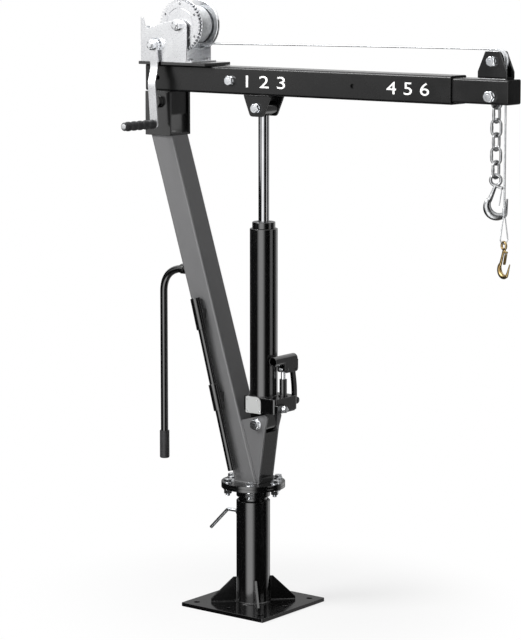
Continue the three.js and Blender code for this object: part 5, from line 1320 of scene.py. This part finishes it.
def latch_shell(length, width, thick, tilt, side, drop):
    """A pressed strip with a rounded end and a stiffening rib, hung at its top edge."""
    end_round = 0.35 * width
    strip = rounded([(-width / 2, -0.5, 0.6), (width / 2, -0.5, 0.6), (width / 2, -length, end_round),
                     (-width / 2, -length, end_round)], 6)
    rib = rectangle(-width / 5, width / 5, 5 - length, -3, 1)
    shells = [slab([strip], -thick / 2, thick / 2, 0.3), slab([rib], -thick / 2, thick / 2 + 0.5, 0.4)]
    place = Matrix.Translation((side, 0, -drop)) @ Matrix.Rotation(math.radians(-tilt), 4, "Y")
    return all_moved(shells, place @ sideways)


slip_place = at(chain_x, 0, 1170.2, 28)
slip_body = hook_shells(eye=17, eye_wire=8, bowl=20, drop=63, shift=5, wire=11, tip_rise=18, tip_reach=28,
                        latch_drop=24, latch_side=14, latch_width=12)
slip_latch = latch_shell(length=38, width=12, thick=2, tilt=-8, side=14, drop=24)
piece("chain_hook_dressed", all_moved(slip_body, slip_place), chain_zinc_painted_shade, "slip_hook", "zinc", "chain_hook",
      crease=50, soft_flats=True)
piece("chain_hook_latch_dressed", all_moved(slip_latch, slip_place), chain_zinc_painted_shade, "slip_latch", "zinc",
      "chain_hook_latch")
# The rope hook's gold is its own colour, darkened in the same way: painted shade in place of dark
# reflections.
gold_zinc_painted_shade = metal("gold_zinc_painted_shade", (0.2, 0.13, 0.05), (0.46, 0.35, 0.17), (0.2, 0.34), 420, 70, 0.18)
lift_place = at(rope_drop_x, 0, 1012.8, -22)
lift_body = hook_shells(eye=12, eye_wire=6, bowl=15, drop=57, shift=1, wire=7, tip_rise=14, tip_reach=25,
                        latch_drop=19, latch_side=9, latch_width=8)
lift_latch = latch_shell(length=28, width=8, thick=1.5, tilt=-14, side=9, drop=19)
piece("rope_hook_dressed", all_moved(lift_body, lift_place), gold_zinc_painted_shade, "lift_hook", "brass_plate",
      "rope_hook", crease=50, soft_flats=True)
piece("rope_hook_latch_dressed", all_moved(lift_latch, lift_place), gold_zinc_painted_shade, "lift_latch", "brass_plate",
      "rope_hook_latch")

# Winch plate and frame: an 8 mm black plate on the boom, and a folded 3 mm zinc plated frame on it
# Four bolts hold the frame's floor down.
plate_top = 1426
frame_near = -51
frame_far = 45
frame_sheet = 3
frame_back = -333
frame_front = -160
winch_plate_loop = rectangle(-340, -115, -57, 52, 3)
piece("winch_plate_dressed", [slab([winch_plate_loop], boom_axis + boom_half, plate_top, 0.8)], gloss_black,
      "boom", "black_paint", "winch_plate")
sheet_zinc = metal("sheet_zinc", (0.64, 0.645, 0.66), (0.72, 0.725, 0.735), (0.24, 0.36), 300, 18, 0.04)
pinion_x = -281.5
pinion_z = 1469.9
frame_edge = -178
horn_top = plate_top + 115
horn_foot = plate_top + 88
bearing_top = drum_centre.z + 14
floor_top = plate_top + frame_sheet
frame_loop = rounded([
    (frame_back, plate_top + 0.2, 0), (frame_back, horn_top, 0.5), (frame_back + 8, horn_top, 3.9),
    (frame_back + 16, horn_foot, 8), (frame_back + 34, horn_foot, 1),
    (drum_centre.x - 54, drum_centre.z + 4, 2), (drum_centre.x - 14, bearing_top, 7),
    (drum_centre.x + 14, bearing_top, 7), (frame_edge, drum_centre.z + 3, 3),
    (frame_edge, plate_top + 0.2, 0)][::-1], 8)
frame_side = [frame_loop, hole_loop(drum_centre.x, drum_centre.z, 8.4), hole_loop(pinion_x, pinion_z, 7.9)]
frame_floor = rectangle(frame_back, frame_front, frame_near - frame_sheet + 0.4,
                        frame_far + frame_sheet - 0.4, 0.5)
frame_shells = [moved(slab(frame_side, frame_near - frame_sheet, frame_near, 0.4), upright),
                moved(slab(frame_side, frame_far, frame_far + frame_sheet, 0.4), upright),
                slab([frame_floor], plate_top, floor_top, 0.4)]
for x in (-316, -178):
    for y in (-34, 28):
        frame_shells.append(moved(hexagon(13, 0, 5.5), at(x, y, floor_top + 1.5, 11 * x)))
        frame_shells.append(moved(sleeve(0.5, 9, 0, 1.6, 0.4), at(x, y, floor_top)))
piece("winch_frame_dressed", frame_shells, sheet_zinc, "boom", "zinc", "winch_frame")

# Drum: a zinc plated core between two flanges, the far one with a rolled rim, on a 16 mm shaft
# A nut closes each end of the shaft outside the frame.
drum_inside = 33
drum_core = 44
drum_flange = 69
flange_thick = 2.5
nut_high = 9
shaft_radius = 8
drum_bore = shaft_radius + 0.3
drum_place = crosswise(drum_centre.x, drum_centre.z)
spun_zinc = metal("spun_zinc", (0.62, 0.63, 0.65), (0.8, 0.81, 0.82), (0.1, 0.2), 900, 25, 0.1,
                  stretch=(0.2, 4, 0.2))
flange_face = drum_inside + flange_thick
drum_shells = [sleeve(drum_bore, drum_core, -drum_inside - 0.2, drum_inside + 0.2, 0.2),
               sleeve(drum_bore, drum_flange, -flange_face, -drum_inside, 0.8)]
rolled = rounded([(drum_bore, drum_inside, 0), (drum_flange - 5, drum_inside, 2.5),
                  (drum_flange - 1, drum_inside + 5.5, 3), (drum_flange - 3, drum_inside + 7, 0.8),
                  (drum_flange - 7, flange_face, 2), (drum_bore, flange_face, 0)], 6)
drum_shells.append(turned(rolled, 96))
drum_shells.append(sleeve(drum_bore, 13, drum_inside, frame_far - 0.3, 0.6))
nut_near = frame_near - frame_sheet - 0.3
nut_far = frame_far + frame_sheet + 0.3
shaft_near = nut_near - nut_high
shaft_far = nut_far + nut_high
drum_shells += [disc(shaft_radius, shaft_near, shaft_far, 0.6),
                thread(shaft_radius, shaft_near, shaft_near - 5),
                thread(shaft_radius, shaft_far, shaft_far + 5),
                hexagon(24, nut_near, shaft_near, bore=shaft_radius),
                hexagon(24, nut_far, shaft_far, bore=shaft_radius)]
piece("winch_drum_dressed", all_moved(drum_shells, drum_place), spun_zinc, "drum", "zinc", "winch_drum")

# Gears: a 6 mm steel wheel of 44 teeth with a turned ring and six holes, and its 16 tooth pinion
# Both are cut to the same module and plated. A ratchet wheel sits on the pinion's shaft, outside the frame.
gear_module = 3
gear_teeth = 44
pinion_teeth = 16
gear_turn = 180 + 35.2
pinion_turn = gear_turn + 180 + 180 / pinion_teeth


def toothed(teeth, profile, turn=0.0):
    """A wheel's outline from one tooth's points of radius and share of the pitch."""
    points = []
    for i in range(teeth):
        for radius, share in profile:
            angle = math.radians(turn) + (i + share) * 2 * math.pi / teeth
            points.append(Vector((radius * math.cos(angle), radius * math.sin(angle))))
    return points


def gear_loop(teeth, turn):
    """A spur gear's outline, its tooth tips eased."""
    pitch = teeth * gear_module / 2
    outer = pitch + 0.8 * gear_module
    root = pitch - 1.15 * gear_module
    return toothed(teeth, [(root, -0.3), (outer - 0.7, -0.15), (outer, -0.1), (outer, 0.1),
                           (outer - 0.7, 0.15), (root, 0.3)], turn)


gear_near = -44
gear_far = -38
groove_cut = turned(rectangle(43.5, 46.5, gear_near - 3, gear_near + 1.5), 96)
gear_loops = [gear_loop(gear_teeth, gear_turn), *ring_of_holes(3, 6, 56, math.radians(30)),
              hole_loop(0, 0, 8.4)]
gear_shell = drilled(slab(gear_loops, gear_near, gear_far, 0.3, 1), [groove_cut])
piece("winch_gear_dressed", [moved(gear_shell, drum_place)], sheet_zinc, "drum", "zinc", "winch_gear")
pinion_shaft = 7.5
crank_nut = -67.3
ratchet = toothed(14, [(15, 0), (19, 0.08), (19, 0.2), (15, 0.95)])
pinion_shells = [slab([gear_loop(pinion_teeth, pinion_turn)], gear_near, gear_far, 0.3, 1),
                 slab([ratchet], -61.7, -55.3, 0.4),
                 disc(pinion_shaft, crank_nut, 53, 0.8), thread(pinion_shaft, crank_nut - nut_high, -81),
                 hexagon(24, crank_nut, crank_nut - nut_high, bore=pinion_shaft)]
piece("pinion_shaft_dressed", all_moved(pinion_shells, crosswise(pinion_x, pinion_z)), bright_zinc, "crank",
      "zinc", "pinion_shaft")

# Crank: a 25 by 5 mm flat arm, joggled outwards below the shaft, with a pin for the turning grip
# The arm's ends are rounded and its joggle is softly bent.
crank_length = 207
crank_turn = Matrix.Translation((pinion_x, 0, pinion_z)) @ Matrix.Rotation(math.radians(-3.9), 4, "Y")
arm_half = 12.5
arm_thick = 5
arm_inner = -64.5
arm_outer = -78.5
arm_line = curve_through([Vector((0, y, z)) for y, z in (
    (arm_inner, arm_half), (arm_inner, 0), (arm_inner, -30), (arm_inner, -56), (-67, -68), (-76, -92),
    (arm_outer, -104), (arm_outer, -130), (arm_outer, -180), (arm_outer, -crank_length),
    (arm_outer, -crank_length - arm_half))], 8)
arm_sections = []
for point in arm_line:
    beyond = max(point.z, -crank_length - point.z, 0)
    wide = math.sqrt(max(arm_half ** 2 - beyond ** 2, 0.5))
    arm_sections.append(rectangle(-wide, wide, -arm_thick / 2, arm_thick / 2, min(0.8, wide / 2)))
grip_face = -81
grip_length = 118
grip_end = grip_face - grip_length
pin_place = Matrix.Translation((0, 0, -crank_length)) @ upright
pin_shells = [disc(5, grip_end - 2, -77, 0.5), disc(7.5, grip_end - 3.5, grip_end - 0.6, 1)]
arm_shells = [swept(arm_line, arm_sections, across=(1, 0, 0)), *all_moved(pin_shells, pin_place)]
piece("crank_arm_dressed", all_moved(arm_shells, crank_turn), sheet_zinc, "crank", "zinc", "crank_arm",
      crease=40)
grip_start = grip_face - 0.3
grip_ribs = 5
grip_points = [(5.3, grip_start)]
for i in range(grip_ribs):
    rib = grip_start - i * grip_length / grip_ribs
    grip_points += [(11, rib), (11.6, rib - 1), (12.4, rib - 5), (12.5, rib - 8), (12.4, rib - 11),
                    (11.6, rib - 14), (10.9, rib - 16.5), (10.8, rib - 19), (11, rib - 22.5)]
grip_points += [(10.4, grip_start - grip_length), (5.3, grip_start - grip_length)]
piece("crank_grip_dressed", [moved(turned(grip_points, 48), crank_turn @ pin_place)], black_rubber,
      "grip", "black_rubber", "crank_grip", crease=50)

# Pawl: a short toothed lever on a pin of the frame, which falls between the gear's teeth
# It is a stamping with rounded ends.
pawl_pin = (-324.7, 1512.1)
pawl_tip = -276.8
pawl_half = 6
pawl_under = pawl_pin[1] - pawl_half
pawl_over = pawl_pin[1] + pawl_half
pawl_loop = rounded([(pawl_pin[0] - pawl_half, pawl_under, 5.9), (pawl_pin[0] + pawl_half, pawl_under, 2),
                     (pawl_tip, pawl_pin[1], 0.6), (pawl_tip - pawl_half, pawl_over, 1),
                     (pawl_pin[0] - pawl_half, pawl_over, 5.9)])
pawl_shell = moved(slab([pawl_loop], gear_near, gear_far, 0.6), upright)
pawl_pins = all_moved([disc(4, -50.6, gear_far, 0.4), disc(pawl_half, -48, gear_near, 0.4)],
                      crosswise(*pawl_pin))
piece("winch_pawl_dressed", [pawl_shell, *pawl_pins], bright_zinc, "pawl", "zinc", "winch_pawl")

# Rope winding: the same wire rope, laid ten and a half turns across the drum
# It comes off the drum's underside towards the sheave.
winding_turns = 10.5
winding_pitch = 5.45
winding_steps = 180
winding_line = []
for k in range(int(winding_turns * winding_steps) + 1):
    angle = math.pi / 2 + 2 * math.pi * k / winding_steps
    y = winding_pitch * (k / winding_steps - winding_turns / 2)
    spoke = Vector((winding_radius * math.cos(angle), y, winding_radius * math.sin(angle)))
    winding_line.append(drum_centre + spoke)
piece("rope_winding_dressed", [laid_rope(even_steps(winding_line, rope_step))], rope_steel, "drum",
      "steel_rope", "rope_winding", crease=60, soft_flats=True)

# Floor and backdrop: pale matt studio floor that fades to white away from the crane
# The camera sees a pure white surround, and the floor keeps the crane's soft shadow.


def stage_piece(name, points, material, card):
    """A flat face of the studio: a card is seen only in reflections, and the floor by all but those."""
    mesh = bpy.data.meshes.new(name)
    mesh.from_pydata(points, [], [tuple(range(len(points)))])
    mesh.materials.append(material)
    made = bpy.data.objects.new(name, mesh)
    bpy.context.scene.collection.objects.link(made)
    made.visible_glossy = card
    made.visible_camera = made.visible_diffuse = made.visible_shadow = not card
    made.visible_transmission = False
    return made


def glow(name, strength):
    """A plain even light of one grey."""
    made, tree, surface = new_material(name)
    tree.nodes.remove(surface)
    light = add_node(tree, "Emission", {"Color": (1, 1, 1, 1), "Strength": strength})
    tree.links.new(light.outputs[0], tree.nodes["Material Output"].inputs["Surface"])
    return made


floor_radius = 9
floor_white, tree, surface = new_material("floor_white")
surface.inputs["Base Color"].default_value = (0.86, 0.86, 0.86, 1)
surface.inputs["Roughness"].default_value = 0.9
surface.inputs["Specular IOR Level"].default_value = 0.0
away = add_node(tree, "VectorMath", {0: add_node(tree, "NewGeometry").outputs["Position"]},
                operation="LENGTH")
fade = add_node(tree, "MapRange", {"Value": away.outputs["Value"], "From Min": 0.25, "From Max": 0.75,
                                   "To Min": 0.75}, interpolation_type="SMOOTHSTEP")
white = add_node(tree, "Emission", {"Color": (1, 1, 1, 1), "Strength": 1.0})
seen = add_node(tree, "LightPath").outputs["Is Camera Ray"]
faded = calculate(tree, "MULTIPLY", fade.outputs["Result"], seen)
mixed = add_node(tree, "MixShader", {0: faded})
tree.links.new(surface.outputs[0], mixed.inputs[1])
tree.links.new(white.outputs[0], mixed.inputs[2])
tree.links.new(mixed.outputs[0], tree.nodes["Material Output"].inputs["Surface"])
stage_piece("floor", [(x, y, 0) for x, y in circle(floor_radius, 64)], floor_white, card=False)

# Studio light: a wide box from the front, one from above, a small key light, and cards of several greys
# The cards are seen only in reflections, and give the black paint and the chrome their bands.
world = bpy.data.worlds.new("studio")
bpy.context.scene.world = world
world.use_nodes = True
tree = world.node_tree
path_kind = add_node(tree, "LightPath")
direct = calculate(tree, "MAXIMUM", path_kind.outputs["Is Camera Ray"],
                   calculate(tree, "MAXIMUM", path_kind.outputs["Is Glossy Ray"],
                             path_kind.outputs["Is Transmission Ray"]))
world_fill = 0.08
strength = remap(tree, direct, 0, 1, world_fill, 1.0)
tree.nodes["Background"].inputs["Color"].default_value = (1, 1, 1, 1)
tree.links.new(strength, tree.nodes["Background"].inputs["Strength"])


def round_the_crane(azimuth, distance):
    """A place in metres round the crane, whose azimuths turn from +X towards +Y."""
    return Vector((math.cos(math.radians(azimuth)), math.sin(math.radians(azimuth)), 0)) * distance


card_distance = 3
card_foot = -3


def upright_card(name, azimuth_from, azimuth_to, high, material, low=card_foot):
    a = round_the_crane(azimuth_from, card_distance)
    b = round_the_crane(azimuth_to, card_distance)
    points = [(a.x, a.y, low), (b.x, b.y, low), (b.x, b.y, high), (a.x, a.y, high)]
    return stage_piece(name, points, material, card=True)


def glowing_azimuth(name):
    """A glowing material, with the azimuth of the place that glows and the glow's strength."""
    made = glow(name, 1.0)
    tree = made.node_tree
    spot = add_node(tree, "SeparateXYZ", {0: add_node(tree, "NewGeometry").outputs["Position"]})
    around = calculate(tree, "ARCTAN2", spot.outputs["Y"], spot.outputs["X"])
    return made, tree, around, tree.nodes["Emission"].inputs["Strength"]


dark_card = glow("dark_card", 0.015)
grey_card = glow("grey_card", 0.3)
low_card = glow("low_card", 0.15)
fading_card, tree, around, strength = glowing_azimuth("fading_card")
tree.links.new(remap(tree, around, math.radians(-122), math.radians(-114), 0.95, 0.25), strength)
band_card, tree, around, strength = glowing_azimuth("band_card")
aside = calculate(tree, "ABSOLUTE", calculate(tree, "SUBTRACT", around, math.radians(-75)))
profile = add_node(tree, "MapRange", {"Value": aside, "From Min": math.radians(9),
                                      "From Max": math.radians(38), "To Min": 2.6, "To Max": 0.02},
                   interpolation_type="SMOOTHSTEP")
tree.links.new(profile.outputs["Result"], strength)
near_split = 0.85
upright_card("card_near", -146, -107, 3, fading_card, low=near_split)
upright_card("card_near_low", -146, -107, near_split, dark_card)
for azimuth in range(-107, -36, 10):
    upright_card(f"card_band_{azimuth + 107}", azimuth, azimuth + 10, 2.6, band_card)
upright_card("card_right", -27, 0, 2.5, dark_card)
upright_card("card_low_right", 0, 24, -0.2, dark_card)
upright_card("card_far_right", 24, 47, 2.5, dark_card)
upright_card("card_back", 47, 65, 2.5, grey_card)
upright_card("card_back_left", 140, 180, 1.5, dark_card)
upright_card("card_behind", 96, 140, 1.5, grey_card)
upright_card("card_left", -146, -180, 2.5, dark_card)
stage_piece("card_floor", [(x, y, card_foot) for x, y in circle(4, 64)], low_card, card=True)


def area_light(name, place, target, wide, high, power, glossy=True):
    """A rectangular lamp, aimed at its target; power is in watts."""
    data = bpy.data.lights.new(name, "AREA")
    data.shape = "RECTANGLE"
    data.size = wide
    data.size_y = high
    data.energy = power
    made = bpy.data.objects.new(name, data)
    bpy.context.scene.collection.objects.link(made)
    made.location = place
    made.rotation_euler = (Vector(target) - Vector(place)).to_track_quat("-Z", "Y").to_euler()
    made.visible_glossy = glossy
    return made


box_height = 0.4
box_place = round_the_crane(-73, 2.4)
area_light("soft_box", (box_place.x, box_place.y, box_height), (0, 0, box_height), 3.1, 2.6, 50, glossy=False)
area_light("top_box", (0.3, -0.3, 3.5), (0.1, 0, 0.6), 3, 3, 25)
area_light("key_box", (-1.6, -2.4, 3.0), (0, 0, 0.8), 1.6, 1.6, 150)

# Render: plain sRGB output without a filmic curve
bpy.context.scene.view_settings.view_transform = "Standard"
bpy.context.scene.render.film_transparent = False
